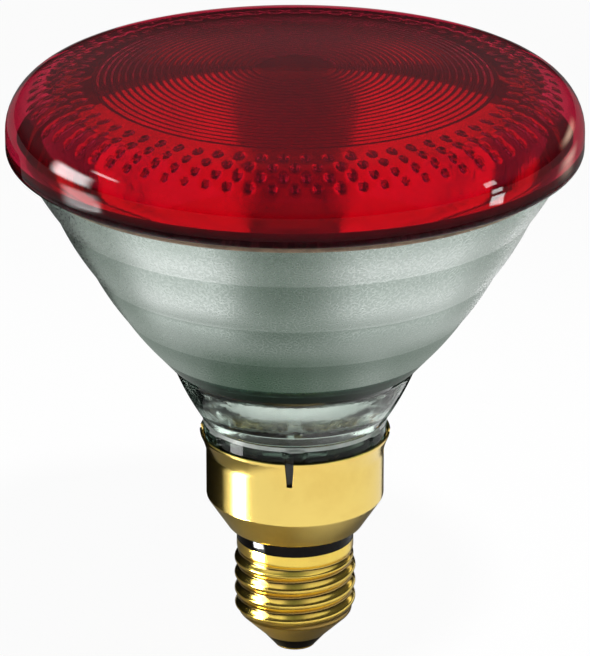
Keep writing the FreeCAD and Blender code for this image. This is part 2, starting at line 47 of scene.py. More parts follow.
FRONT = -TURN / 4
ON_AXIS = 1e-6
STRAIGHT = math.radians(176)
CREASE = math.radians(40)
CORNER_SHARE = 0.45

Point = tuple[float, float]
Place = tuple[float, float, float]
Colour = tuple[float, float, float]
Wave = tuple[float, int, float]
Profile = list[Point]
Levels = float | np.ndarray
Node = bpy.types.Node
Socket = bpy.types.NodeSocket
Material = bpy.types.Material
Item = bpy.types.Object

WHITE: Colour = (1.0, 1.0, 1.0)
BLACK: Colour = (0.0, 0.0, 0.0)


class Slot(Enum):
    """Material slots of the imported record."""

    RED_GLASS = "red_glass"
    CLEAR_GLASS = "clear_glass"
    SEAL = "seal_compound"
    SKIRT = "skirt_brass"
    SHELL = "shell_brass"
    BLACK_GLASS = "black_glass"
    SOLDER = "solder"
    TUNGSTEN = "tungsten"


class BowlZone(IntEnum):
    """Parts of the bowl's skin, each with a finish of its own."""

    SATIN = 0
    CLEAR = 1
    MIRROR = 2
    EDGE = 3
    FOOT = 4
    LEDGE = 5


class LensZone(IntEnum):
    """Parts of the lens's skin, each with a finish of its own."""

    PLAIN = 0
    SEAM = 1
    BEVEL = 2
    LENSLET = 3


class Reach(Enum):
    """What a light or card acts on."""

    FLOOR = "matt surfaces"
    GLOSS = "reflections"
    THROUGH = "what is seen through glass"


class Effect(Enum):
    """Shader node groups that several finishes share."""

    GRAIN = "fine_grain"
    DRAWN = "drawn_lines"
    TARNISH = "tarnish"
    RADIUS = "turned_radius"


def rgba(colour: Colour) -> tuple[float, float, float, float]:
    """Return a colour with full opacity."""
    return (*colour, 1.0)


def around(count: int) -> np.ndarray:
    """Return equal steps of angle round the axis, in radians."""
    return np.arange(count) * (TURN / count)


def uneven(waves: Sequence[Wave], count: int) -> np.ndarray:
    """Add up waves round the axis, for a line that isn't quite even.

    Args:
        waves: Height, number round the axis and shift in radians of each wave.
        count: Number of angles.

    Returns:
        One sum for each angle.
    """
    return sum(height * np.sin(number * around(count) + shift) for height, number, shift in waves)


def arc(start: Point, finish: Point, radius: float, steps: int) -> Profile:
    """Sample an arc between two points.

    Args:
        start: First point, as radius and level.
        finish: Last point.
        radius: Arc radius; positive bulges to the right of the way.
        steps: Number of chords.

    Returns:
        The points from start to finish, both included.
    """
    a = np.array(start)
    b = np.array(finish)
    chord = b - a
    half = float(np.hypot(*chord)) / 2
    reach = max(abs(radius), half)
    right = np.array([chord[1], -chord[0]]) / (2 * half)
    bulge = 1 if radius > 0 else -1
    centre = (a + b) / 2 - right * bulge * math.sqrt(reach**2 - half**2)
    first = math.atan2(*(a - centre)[::-1])
    last = math.atan2(*(b - centre)[::-1])
    sweep = (last - first + math.pi) % TURN - math.pi
    angles = first + sweep * np.linspace(0, 1, steps + 1)
    return [(centre[0] + reach * math.cos(t), centre[1] + reach * math.sin(t)) for t in angles]


def rounded(profile: Sequence[Point], radius: float, steps: int = 4) -> Profile:
    """Round the corners of an open profile.

    Args:
        profile: Corner points, as radius and level.
        radius: Rounding radius, made smaller where a run is short.
        steps: Chords in each rounding.

    Returns:
        The profile with each corner but its two ends rounded.
    """
    smooth = [profile[0]]
    for before, corner, after in zip(profile, profile[1:], profile[2:]):
        c = np.array(corner)
        back = np.array(before) - c
        ahead = np.array(after) - c
        back_run = float(np.hypot(*back))
        ahead_run = float(np.hypot(*ahead))
        back /= back_run
        ahead /= ahead_run
        opening = math.acos(float(np.clip(back @ ahead, -1, 1)))
        if opening > STRAIGHT:
            smooth.append(corner)
            continue
        most = CORNER_SHARE * min(back_run, ahead_run)
        reach = min(radius / math.tan(opening / 2), most)
        for share in np.linspace(0, 1, steps + 1):
            p = c + back * reach * (1 - share) ** 2 + ahead * reach * share**2
            smooth.append((float(p[0]), float(p[1])))
    smooth.append(profile[-1])
    return smooth


def divided(profile: Profile, run: float) -> Profile:
    """Add points to a profile so that no run is longer than a length.

    Args:
        profile: Points as radius and level.
        run: The longest run.

    Returns:
        The profile with points added on its runs.
    """
    fine = [profile[0]]
    for (r0, z0), (r1, z1) in zip(profile, profile[1:]):
        count = max(1, math.ceil(math.hypot(r1 - r0, z1 - z0) / run))
        for step in range(1, count + 1):
            share = step / count
            fine.append((r0 + (r1 - r0) * share, z0 + (z1 - z0) * share))
    return fine


def link(item: Item) -> Item:
    """Link an object to the scene and return it."""
    bpy.context.scene.collection.objects.link(item)
    return item


@dataclass
class Lathe:
    """Gathers rings of points about the lamp's axis into one mesh, in millimetres."""

    points: list[np.ndarray] = field(default_factory=list)
    faces: list[list[int]] = field(default_factory=list)
    zones: list[int] = field(default_factory=list)
    count: int = 0

    def keep(self, points: np.ndarray) -> np.ndarray:
        """Add points.

        Args:
            points: One row of three numbers a point.

        Returns:
            Their indices.
        """
        self.points.append(points)
        first = self.count
        self.count += len(points)
        return np.arange(first, self.count)

    def pole(self, level: float) -> np.ndarray:
        """Add a point on the axis and return its index in an array."""
        return self.keep(np.array([[0.0, 0.0, level]]))

    def ring(self, radius: Levels, level: Levels, angles: int | np.ndarray) -> np.ndarray:
        """Add one ring of points, or part of one.

        Args:
            radius: Radius, or one for each angle.
            level: Height, or one for each angle.
            angles: Number of points all round, or the points' angles in radians.

        Returns:
            The indices of the ring's points.
        """
        turns = around(angles) if isinstance(angles, int) else angles
        flat = np.ones(len(turns))
        x, y = radius * np.cos(turns), radius * np.sin(turns)
        return self.keep(np.stack([x, y, level * flat], axis=1))

    def rings(self, profile: Sequence[Point], segments: int) -> list[np.ndarray]:
        """Add a ring for each point of a profile, or a pole where it meets the axis.

        Args:
            profile: Points as radius and level, outer side upwards.
            segments: Points in each ring.

        Returns:
            The indices of each ring's points.
        """
        return [self.pole(z) if r < ON_AXIS else self.ring(r, z, segments) for r, z in profile]

    def add(self, corners: Sequence[np.ndarray], zone: int | np.ndarray = 0) -> None:
        """Add faces.

        Args:
            corners: For each corner of a face, its point's index in every face.
            zone: Material index of the faces, or one for each face.
        """
        self.faces += np.stack(corners, axis=1).tolist()
        self.zones += np.broadcast_to(zone, len(corners[0])).tolist()

    def skin(self, before: np.ndarray, after: np.ndarray, zone: int | np.ndarray = 0) -> None:
        """Join two rings, or a ring and a pole; one ring may have twice the points of the other.

        Args:
            before: Indices of the first ring along the profile.
            after: Indices of the next ring.
            zone: Material index of the new faces, or one for each face of two equal rings.
        """
        if len(before) == len(after):
            self.add((before, np.roll(before, -1), np.roll(after, -1), after), zone)
        elif len(after) == 1:
            self.add((before, np.roll(before, -1), np.full(len(before), after[0])), zone)
        elif len(before) == 1:
            self.add((np.full(len(after), before[0]), np.roll(after, -1), after), zone)
        elif len(after) > len(before):
            a, b = before, np.roll(before, -1)
            c, d, e = after[0::2], after[1::2], np.roll(after[0::2], -1)
            for trio in ((a, d, c), (a, b, d), (b, e, d)):
                self.add(trio, zone)
        else:
            a, b = after, np.roll(after, -1)
            c, d, e = before[0::2], before[1::2], np.roll(before[0::2], -1)
            for trio in ((c, d, a), (d, e, b), (d, b, a)):
                self.add(trio, zone)

    def join(self, rows: Sequence[np.ndarray], closed: bool, zones: Sequence[int] = ()) -> None:
        """Skin rings in order.

        Args:
            rows: Indices of each ring's points.
            closed: Also join the last ring to the first.
            zones: Material index of the faces that end at each ring; none for 0 all over.
        """
        for index in range(1, len(rows) + int(closed)):
            after = index % len(rows)
            self.skin(rows[index - 1], rows[after], zones[after] if zones else 0)

    def piece(self, name: str, *materials: Material) -> Item:
        """Make an object of the mesh.

        Args:
            name: Object name.
            materials: One material for each zone.

        Returns:
            The new object, linked to the scene.
        """
        mesh = bpy.data.meshes.new(name)
        points = np.concatenate(self.points) * MM
        mesh.from_pydata(points.tolist(), [], self.faces)
        for material in materials:
            mesh.materials.append(material)
        mesh.polygons.foreach_set("material_index", np.array(self.zones, dtype=np.int32))
        mesh.polygons.foreach_set("use_smooth", np.ones(len(self.faces), dtype=bool))
        mesh.set_sharp_from_angle(angle=CREASE)
        mesh.update()
        return link(bpy.data.objects.new(name, mesh))


def settle(piece: Item, slot: Slot, *nodes: str) -> Item:
    """Let a piece ride on the lamp and stand for its CAD nodes.

    Args:
        piece: The finished piece.
        slot: Record slot; not used.
        nodes: CAD nodes that it replaces.

    Returns:
        The same piece.
    """
    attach(piece, "root")
    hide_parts(*nodes)
    LOG.info("%s: %d faces for %s", piece.name, len(piece.data.polygons), ", ".join(nodes))
    return piece


@dataclass
class Graph:
    """Short way to add and join nodes in one node tree."""

    tree: bpy.types.NodeTree

    def node(self, kind: str, values: dict[str, object] | None = None, **options: object) -> Node:
        """Add a node.

        Args:
            kind: Node type name.
            values: Input sockets to set or to link, by name.
            options: Node properties.

        Returns:
            The new node.
        """
        made = self.tree.nodes.new(kind)
        for name, option in options.items():
            setattr(made, name, option)
        for name, value in (values or {}).items():
            self.feed(made.inputs[name], value)
        return made

    def feed(self, socket: Socket, value: object) -> None:
        """Link a socket to another one, or set its constant.

        Args:
            socket: Input socket.
            value: Output socket or constant.
        """
        if isinstance(value, Socket):
            self.tree.links.new(value, socket)
        else:
            socket.default_value = value

    def dress(self, shader: Node, **values: object) -> None:
        """Feed a shader's own sockets.

        Args:
            shader: The shader.
            values: Sockets or constants; an underscore in a name stands for a space.
        """
        for name, value in values.items():
            self.feed(shader.inputs[name.replace("_", " ")], value)

    def place(self) -> Socket:
        """Return the object coordinates, in metres."""
        return self.node("ShaderNodeTexCoord").outputs["Object"]

    def axes(self, place: Socket) -> Sequence[Socket]:
        """Return the three parts of a place, x, y and z."""
        return self.node("ShaderNodeSeparateXYZ", {"Vector": place}).outputs

    def calc(self, kind: str, *values: object) -> Socket:
        """Add a Math node.

        Args:
            kind: Math operation.
            values: Its numbers or sockets, up to three.

        Returns:
            The result's socket.
        """
        made = self.node("ShaderNodeMath", operation=kind)
        for socket, value in zip(made.inputs, values):
            self.feed(socket, value)
        return made.outputs[0]

    def times(self, first: object, second: object) -> Socket:
        """Return the product of two numbers or sockets."""
        return self.calc("MULTIPLY", first, second)

    def length(self, x: Socket, y: Socket) -> Socket:
        """Return the length of a way from its two parts."""
        return self.calc("SQRT", self.calc("ADD", self.times(x, x), self.times(y, y)))

    def ramp(
        self, value: object, low: float, high: float, to_low: float = 0.0, to_high: float = 1.0
    ) -> Socket:
        """Map a value smoothly from one range to another.

        Args:
            value: Number or socket.
            low: Start of the range.
            high: End of the range.
            to_low: Result at the start.
            to_high: Result at the end.

        Returns:
            The mapped value's socket.
        """
        made = self.node("ShaderNodeMapRange", {
            "Value": value,
            "From Min": low,
            "From Max": high,
            "To Min": to_low,
            "To Max": to_high,
        }, interpolation_type="SMOOTHSTEP", clamp=True)
        return made.outputs["Result"]

    def blend(self, share: object, first: object, second: object) -> Socket:
        """Mix two colours.

        Args:
            share: How much of the second colour there is.
            first: Colour or socket.
            second: Colour or socket.

        Returns:
            The mixed colour's socket.
        """
        made = self.node("ShaderNodeMix", {"Factor": share}, data_type="RGBA")
        for name, colour in (("A", first), ("B", second)):
            self.feed(made.inputs[name], rgba(colour) if isinstance(colour, tuple) else colour)
        return made.outputs["Result"]

    def bump(
        self, height: Socket, strength: float, distance: float, under: Socket | None = None
    ) -> Socket:
        """Add a Bump node.

        Args:
            height: Height socket.
            strength: Bump strength.
            distance: Bump distance in metres.
            under: Normal socket of a coarser bump.

        Returns:
            The normal's socket.
        """
        values = {"Height": height, "Strength": strength, "Distance": distance}
        made = self.node("ShaderNodeBump", values)
        if under is not None:
            self.feed(made.inputs["Normal"], under)
        return made.outputs["Normal"]

    def show_mix(self, share: Socket, first: Node, second: Node) -> None:
        """Let a material show a mix of two shaders.

        Args:
            share: How much of the second shader there is.
            first: First shader.
            second: Second shader.
        """
        mixed = self.node("ShaderNodeMixShader", {"Fac": share})
        self.feed(mixed.inputs[1], first.outputs[0])
        self.feed(mixed.inputs[2], second.outputs[0])
        output = next(node for node in self.tree.nodes if node.type == "OUTPUT_MATERIAL")
        self.feed(output.inputs["Surface"], mixed.outputs[0])


@dataclass
class Effects:
    """Builds the shared shader node groups once and places them in materials."""

    grain_range: Point = (0.34, 0.66)
    line_range: Point = (0.3, 0.7)
    line_detail: float = 3.0
    patch_softness: float = 0.28
    patch_detail: float = 5.0
    patch_roughness: float = 0.62
    groups: dict[Effect, bpy.types.NodeTree] = field(default_factory=dict)

    def __post_init__(self) -> None:
        """Build all the groups."""
        self.build(Effect.GRAIN, self.grain, ("Mask", "Height"), Scale=2500.0, Detail=2.0)
        self.build(Effect.DRAWN, self.drawn, ("Mask",), Lines=60.0, Run=40.0)
        self.build(Effect.TARNISH, self.tarnish, ("Mask",), Scale=60.0, Edge=0.5)
        self.build(Effect.RADIUS, self.radius, ("Radius", "Level"))

    def build(
        self,
        effect: Effect,
        body: Callable[[Graph, Node, Node], None],
        outputs: tuple[str, ...],
        **inputs: float,
    ) -> None:
        """Make one group and keep it.

        Args:
            effect: Which group.
            body: Method that fills the group.
            outputs: Named outputs.
            inputs: Named inputs with their defaults.
        """
        tree = bpy.data.node_groups.new(effect.value, "ShaderNodeTree")
        number = "NodeSocketFloat"
        for name, default in inputs.items():
            socket = tree.interface.new_socket(name=name, in_out="INPUT", socket_type=number)
            socket.default_value = default
        for name in outputs:
            tree.interface.new_socket(name=name, in_out="OUTPUT", socket_type=number)
        graph = Graph(tree)
        body(graph, graph.node("NodeGroupInput"), graph.node("NodeGroupOutput"))
        self.groups[effect] = tree

    def grain(self, graph: Graph, given: Node, out: Node) -> None:
        """Fill the group for the fine grain of etched or cast surfaces.

        Args:
            graph: The group's graph.
            given: Its input node.
            out: Its output node.
        """
        fine = graph.node("ShaderNodeTexNoise", {
            "Vector": graph.place(),
            "Scale": given.outputs["Scale"],
            "Detail": given.outputs["Detail"],
        })
        mask = graph.ramp(fine.outputs["Fac"], *self.grain_range)
        graph.dress(out, Mask=mask, Height=fine.outputs["Fac"])

    def drawn(self, graph: Graph, given: Node, out: Node) -> None:
        """Fill the group for lines that drawing leaves along the axis.

        Args:
            graph: The group's graph.
            given: Its input node.
            out: Its output node.
        """
        x, y, z = graph.axes(graph.place())
        radius = graph.length(x, y)
        count = given.outputs["Lines"]
        turned = graph.node("ShaderNodeCombineXYZ", {
            "X": graph.times(graph.calc("DIVIDE", x, radius), count),
            "Y": graph.times(graph.calc("DIVIDE", y, radius), count),
            "Z": graph.times(z, given.outputs["Run"]),
        })
        lines = graph.node("ShaderNodeTexNoise", {
            "Vector": turned.outputs[0],
            "Scale": 1.0,
            "Detail": self.line_detail,
        })
        graph.dress(out, Mask=graph.ramp(lines.outputs["Fac"], *self.line_range))

    def tarnish(self, graph: Graph, given: Node, out: Node) -> None:
        """Fill the group for soft patches of tarnish or stain.

        Args:
            graph: The group's graph.
            given: Its input node.
            out: Its output node.
        """
        patches = graph.node("ShaderNodeTexNoise", {
            "Vector": graph.place(),
            "Scale": given.outputs["Scale"],
            "Detail": self.patch_detail,
            "Roughness": self.patch_roughness,
        })
        low = graph.calc("SUBTRACT", given.outputs["Edge"], self.patch_softness / 2)
        past = graph.calc("SUBTRACT", patches.outputs["Fac"], low)
        graph.dress(out, Mask=graph.ramp(graph.calc("DIVIDE", past, self.patch_softness), 0.0, 1.0))

    def radius(self, graph: Graph, given: Node, out: Node) -> None:
        """Fill the group for a point's distance from the axis and its height, in millimetres.

        Args:
            graph: The group's graph.
            given: Its input node, which has no sockets.
            out: Its output node.
        """
        x, y, z = graph.axes(graph.place())
        radius = graph.calc("DIVIDE", graph.length(x, y), MM)
        graph.dress(out, Radius=radius, Level=graph.calc("DIVIDE", z, MM))

    def place(self, graph: Graph, effect: Effect, **values: float) -> Node:
        """Place a group in a material.

        Args:
            graph: The material's graph.
            effect: Which group.
            values: Its input values.

        Returns:
            The group node.
        """
        return graph.node("ShaderNodeGroup", values, node_tree=self.groups[effect])


def new_material(name: str) -> tuple[Material, Graph, Node]:
    """Start a material.

    Args:
        name: Material name.

    Returns:
        The material, its graph and its Principled shader.
    """
    material = bpy.data.materials.new(name)
    material.use_nodes = True
    tree = material.node_tree
    shader = next(node for node in tree.nodes if node.type == "BSDF_PRINCIPLED")
    return material, Graph(tree), shader


@dataclass(frozen=True)
class GlassFinish:
    """Pressed glass that light passes through."""

    name: str
    tint: Colour
    deep_tint: Colour
    roughness: float
    ripple: float
    clearness: float = 1.0
    ior: float = 1.5
    roughness_range: Point = (0.6, 1.4)
    patch_scale: float = 38.0
    patch_edge: float = 0.5
    grain_scale: float = 900.0
    swell_scale: float = 70.0
    swell_height: float = 0.0006

    def build(self, effects: Effects) -> Material:
        """Make the glass.

        Args:
            effects: The shared node groups.

        Returns:
            The material.
        """
        material, graph, shader = new_material(self.name)
        patches = effects.place(graph, Effect.TARNISH, Scale=self.patch_scale, Edge=self.patch_edge)
        grain = effects.place(graph, Effect.GRAIN, Scale=self.grain_scale, Detail=1.0)
        swell = effects.place(graph, Effect.GRAIN, Scale=self.swell_scale, Detail=1.0)
        low, high = (self.roughness * share for share in self.roughness_range)
        graph.dress(
            shader,
            Metallic=0.0,
            Transmission_Weight=self.clearness,
            IOR=self.ior,
            Base_Color=graph.blend(patches.outputs["Mask"], self.tint, self.deep_tint),
            Roughness=graph.ramp(grain.outputs["Mask"], 0, 1, low, high),
            Normal=graph.bump(swell.outputs["Height"], self.ripple, self.swell_height),
        )
        return material


@dataclass(frozen=True)
class MetalFinish:
    """Bare metal with tarnish, drawn lines, a fine grain and, on a thread, painted shade in its
    roots.
    """

    name: str
    bright: Colour
    tarnished: Colour
    roughness: float
    spread: float
    lines: float = 0.0
    grain: float = 0.1
    grain_scale: float = 2200.0
    grain_height: float = 0.00008
    line_count: float = 220.0
    line_run: float = 18.0
    line_bump: float = 0.12
    line_height: float = 0.00006
    patch_scale: float = 70.0
    patch_edge: float = 0.56
    root_shade_radius: Point | None = None
    root_shade_levels: Point = (0.0, 1.0)
    root_shade_edges: Point = (0.6, 0.4)
    root_shade_share: float = 0.85
    painted_root_shade: Colour = (0.2, 0.12, 0.05)

    def painted_root_shade_mask(self, graph: Graph, effects: Effects) -> Socket:
        """Find where the painted shade lies: near the thread's root, between its two ends.

        Args:
            graph: The material's graph.
            effects: The shared node groups.

        Returns:
            The mask's socket.
        """
        turned = effects.place(graph, Effect.RADIUS)
        level = turned.outputs["Level"]
        foot, head = self.root_shade_levels
        past, within = self.root_shade_edges
        share = graph.ramp(turned.outputs["Radius"], *self.root_shade_radius, self.root_shade_share, 0.0)
        share = graph.times(share, graph.ramp(level, foot - past, foot + within))
        return graph.times(share, graph.ramp(level, head - within, head + past, 1.0, 0.0))

    def build(self, effects: Effects) -> Material:
        """Make the metal.

        Args:
            effects: The shared node groups.

        Returns:
            The material.
        """
        material, graph, shader = new_material(self.name)
        patches = effects.place(graph, Effect.TARNISH, Scale=self.patch_scale, Edge=self.patch_edge)
        colour = graph.blend(patches.outputs["Mask"], self.bright, self.tarnished)
        # Painted shade: the thread's roots are darkened to brown, as if in shadow.
        if self.root_shade_radius is not None:
            colour = graph.blend(self.painted_root_shade_mask(graph, effects), colour, self.painted_root_shade)
        grain = effects.place(graph, Effect.GRAIN, Scale=self.grain_scale, Detail=2.0)
        drawn = effects.place(graph, Effect.DRAWN, Lines=self.line_count, Run=self.line_run)
        mask = drawn.outputs["Mask"]
        marks = graph.calc("MULTIPLY_ADD", mask, self.lines, grain.outputs["Mask"])
        top = self.roughness + self.spread
        normal = graph.bump(grain.outputs["Height"], self.grain, self.grain_height)
        if self.lines:
            normal = graph.bump(mask, self.line_bump * self.lines, self.line_height, normal)
        graph.dress(
            shader,
            Metallic=1.0,
            Base_Color=colour,
            Roughness=graph.ramp(marks, 0, 1 + self.lines, self.roughness, top),
            Normal=normal,
        )
        return material


@dataclass(frozen=True)
class SatinFinish:
    """Satin outer face of the silvered bowl, with painted shade that makes each band darker and
    greener towards its top.
    """

    name: str = "satin_silvered_glass"
    light: Colour = (0.76, 0.82, 0.785)
    dark: Colour = (0.36, 0.44, 0.39)
    stain: Colour = (0.55, 0.66, 0.58)
    band_levels: tuple[float, ...] = (72.1, 80.1, 90.3, 102.9, 112.5)
    shade_start: float = 0.25
    shade_end: float = 0.4
    shade_share: float = 0.55
    grain_share: float = 0.16
    stain_share: float = 0.12
    roughness: Point = (0.24, 0.40)
    relief: float = 0.25
    relief_height: float = 0.00012
    coat: float = 0.25
    coat_roughness: float = 0.2

    def painted_band_shade(self, graph: Graph, level: Socket) -> Socket:
        """Find the painted shade of each band, darkest at its top.

        Args:
            graph: The material's graph.
            level: Socket of the height in millimetres.

        Returns:
            The mask's socket.
        """
        painted_band_shade: object = 0.0
        for low, high in zip(self.band_levels, self.band_levels[1:]):
            rise = graph.ramp(level, low + self.shade_start * (high - low), high)
            painted_band_shade = graph.calc("MULTIPLY_ADD", rise, graph.calc("LESS_THAN", level, high), painted_band_shade)
            if high < self.band_levels[-1]:
                painted_band_shade = graph.times(painted_band_shade, graph.ramp(level, high, high + self.shade_end, 1.0, 0.0))
        return painted_band_shade

    def build(self, effects: Effects) -> Material:
        """Make the satin face.

        Args:
            effects: The shared node groups.

        Returns:
            The material.
        """
        material, graph, shader = new_material(self.name)
        painted_band_shade = self.painted_band_shade(graph, effects.place(graph, Effect.RADIUS).outputs["Level"])
        grain = effects.place(graph, Effect.GRAIN, Scale=1900.0, Detail=3.0)
        patches = effects.place(graph, Effect.TARNISH, Scale=45.0, Edge=0.52)
        specks = graph.times(grain.outputs["Mask"], self.grain_share)
        # Painted shade: each band's colour goes darker and greener towards its top, with grain
        # specks mixed in.
        share = graph.calc("MULTIPLY_ADD", painted_band_shade, self.shade_share, specks)
        colour = graph.blend(share, self.light, self.dark)
        stains = graph.times(patches.outputs["Mask"], self.stain_share)
        graph.dress(
            shader,
            Metallic=1.0,
            Coat_Weight=self.coat,
            Coat_Roughness=self.coat_roughness,
            Base_Color=graph.blend(stains, colour, self.stain),
            Roughness=graph.ramp(grain.outputs["Mask"], 0, 1, *self.roughness),
            Normal=graph.bump(grain.outputs["Height"], self.relief, self.relief_height),
        )
        return material


@dataclass(frozen=True)
class OpaqueFinish:
    """Opaque material that is no metal, such as black glass or sealing compound."""

    name: str
    base: Colour
    patch: Colour
    roughness: float
    spread: float
    relief: float
    patch_scale: float = 120.0
    grain_scale: float = 1200.0
    shine: float = 0.5
    ior: float = 1.5
    patch_edge: float = 0.54
    relief_height: float = 0.0002

    def build(self, effects: Effects) -> Material:
        """Make the finish.

        Args:
            effects: The shared node groups.

        Returns:
            The material.
        """
        material, graph, shader = new_material(self.name)
        patches = effects.place(graph, Effect.TARNISH, Scale=self.patch_scale, Edge=self.patch_edge)
        grain = effects.place(graph, Effect.GRAIN, Scale=self.grain_scale, Detail=3.0)
        top = self.roughness + self.spread
        graph.dress(
            shader,
            Metallic=0.0,
            IOR=self.ior,
            Specular_IOR_Level=self.shine,
            Base_Color=graph.blend(patches.outputs["Mask"], self.base, self.patch),
            Roughness=graph.ramp(grain.outputs["Mask"], 0, 1, self.roughness, top),
            Normal=graph.bump(grain.outputs["Height"], self.relief, self.relief_height),
        )
        return material


RED: Colour = (0.70, 0.012, 0.06)
DEEP_RED: Colour = (0.62, 0.010, 0.05)
RED_GLASS = GlassFinish("red_pressed_glass", RED, DEEP_RED, 0.015, 0.10, 0.95)
BEVEL_GLASS = GlassFinish("red_rim_bevel", RED, DEEP_RED, 0.015, 0.10, 0.95, ior=1.15)
# Lenslet glass: far darker red than the lens, painted shade for the dark centres of the lenslets.
DARKENED_LENSLET_GLASS = GlassFinish(
    "red_lenslets_painted_shade", (0.13, 0.004, 0.012), (0.10, 0.003, 0.01), 0.015, 0.05, 0.95,
)
CLEAR_GLASS = GlassFinish(
    "clear_pressed_glass", (0.80, 0.92, 0.85), (0.72, 0.88, 0.79), 0.01, 0.10,
)
# Foot glass: dark green, far darker than the clear neck; painted shade for the foot under the bowl.
SHADED_FOOT_GLASS = GlassFinish(
    "foot_glass_painted_shade", (0.14, 0.22, 0.17), (0.11, 0.18, 0.14), 0.01, 0.12, ior=1.3,
)
# Edge glass: near-black green, painted shade on the foot behind the slots and on the step under the
# satin.
SHADED_EDGE_GLASS = GlassFinish(
    "dark_green_painted_shade_glass", (0.03, 0.07, 0.05), (0.02, 0.05, 0.035), 0.02, 0.10,
)
MIRROR = MetalFinish(
    "aluminium_film", (0.88, 0.88, 0.87), (0.80, 0.81, 0.80), 0.05, 0.06,
    grain=0.25, grain_scale=700.0,
)
SKIRT_BRASS = MetalFinish(
    "drawn_brass", (0.92, 0.69, 0.19), (0.84, 0.60, 0.155), 0.13, 0.06, lines=0.4, grain=0.04,
)
# The shell's thread gets painted shade in its roots, set by the radius and levels below.
SHELL_BRASS = MetalFinish(
    "rolled_brass", (0.90, 0.66, 0.13), (0.78, 0.53, 0.11), 0.11, 0.07,
    grain=0.04, patch_scale=110.0, root_shade_radius=(12.1, 12.7), root_shade_levels=(9.2, 23.5),
)
SOLDER = MetalFinish(
    "solder", (0.56, 0.56, 0.55), (0.34, 0.34, 0.34), 0.34, 0.2, grain=0.5, grain_scale=1400.0,
)
NICKEL_IRON = MetalFinish("nickel_iron", (0.60, 0.58, 0.55), (0.44, 0.42, 0.40), 0.3, 0.15)
TUNGSTEN = MetalFinish("tungsten", (0.34, 0.34, 0.35), (0.22, 0.22, 0.24), 0.38, 0.15)
COPPER = MetalFinish("copper_wire", (0.80, 0.46, 0.30), (0.52, 0.28, 0.18), 0.28, 0.16)
BLACK_GLASS = OpaqueFinish(
    "black_glass", (0.006, 0.005, 0.005), (0.010, 0.008, 0.008), 0.03, 0.04, 0.03, shine=0.08,
)
SEAL_COMPOUND = OpaqueFinish(
    "seal_compound", (0.50, 0.34, 0.22), (0.30, 0.20, 0.13), 0.5, 0.25, 0.5, 260.0, 2600.0,
)
# Ledge finish: pale and opaque, a painted highlight for the bright ring where the neck meets the
# foot.
PAINTED_LEDGE_HIGHLIGHT = OpaqueFinish(
    "ledge_painted_highlight", (0.80, 0.86, 0.81), (0.62, 0.70, 0.64), 0.25, 0.2, 0.3,
)
# Seam finish: opaque dark red, partly the fused seam and partly painted shade at the rim's foot.
FUSED_SEAM_AND_SHADE = OpaqueFinish(
    "fused_seam_and_painted_shade", (0.19, 0.055, 0.055), (0.13, 0.038, 0.04), 0.6, 0.2, 0.4, 260.0, 2600.0,
)
SATIN = SatinFinish()


@dataclass(frozen=True)
class BeltRow:
    """One row of lenslets: distance from the apex, number, and half length along the face."""

    run: float
    count: int
    reach: float


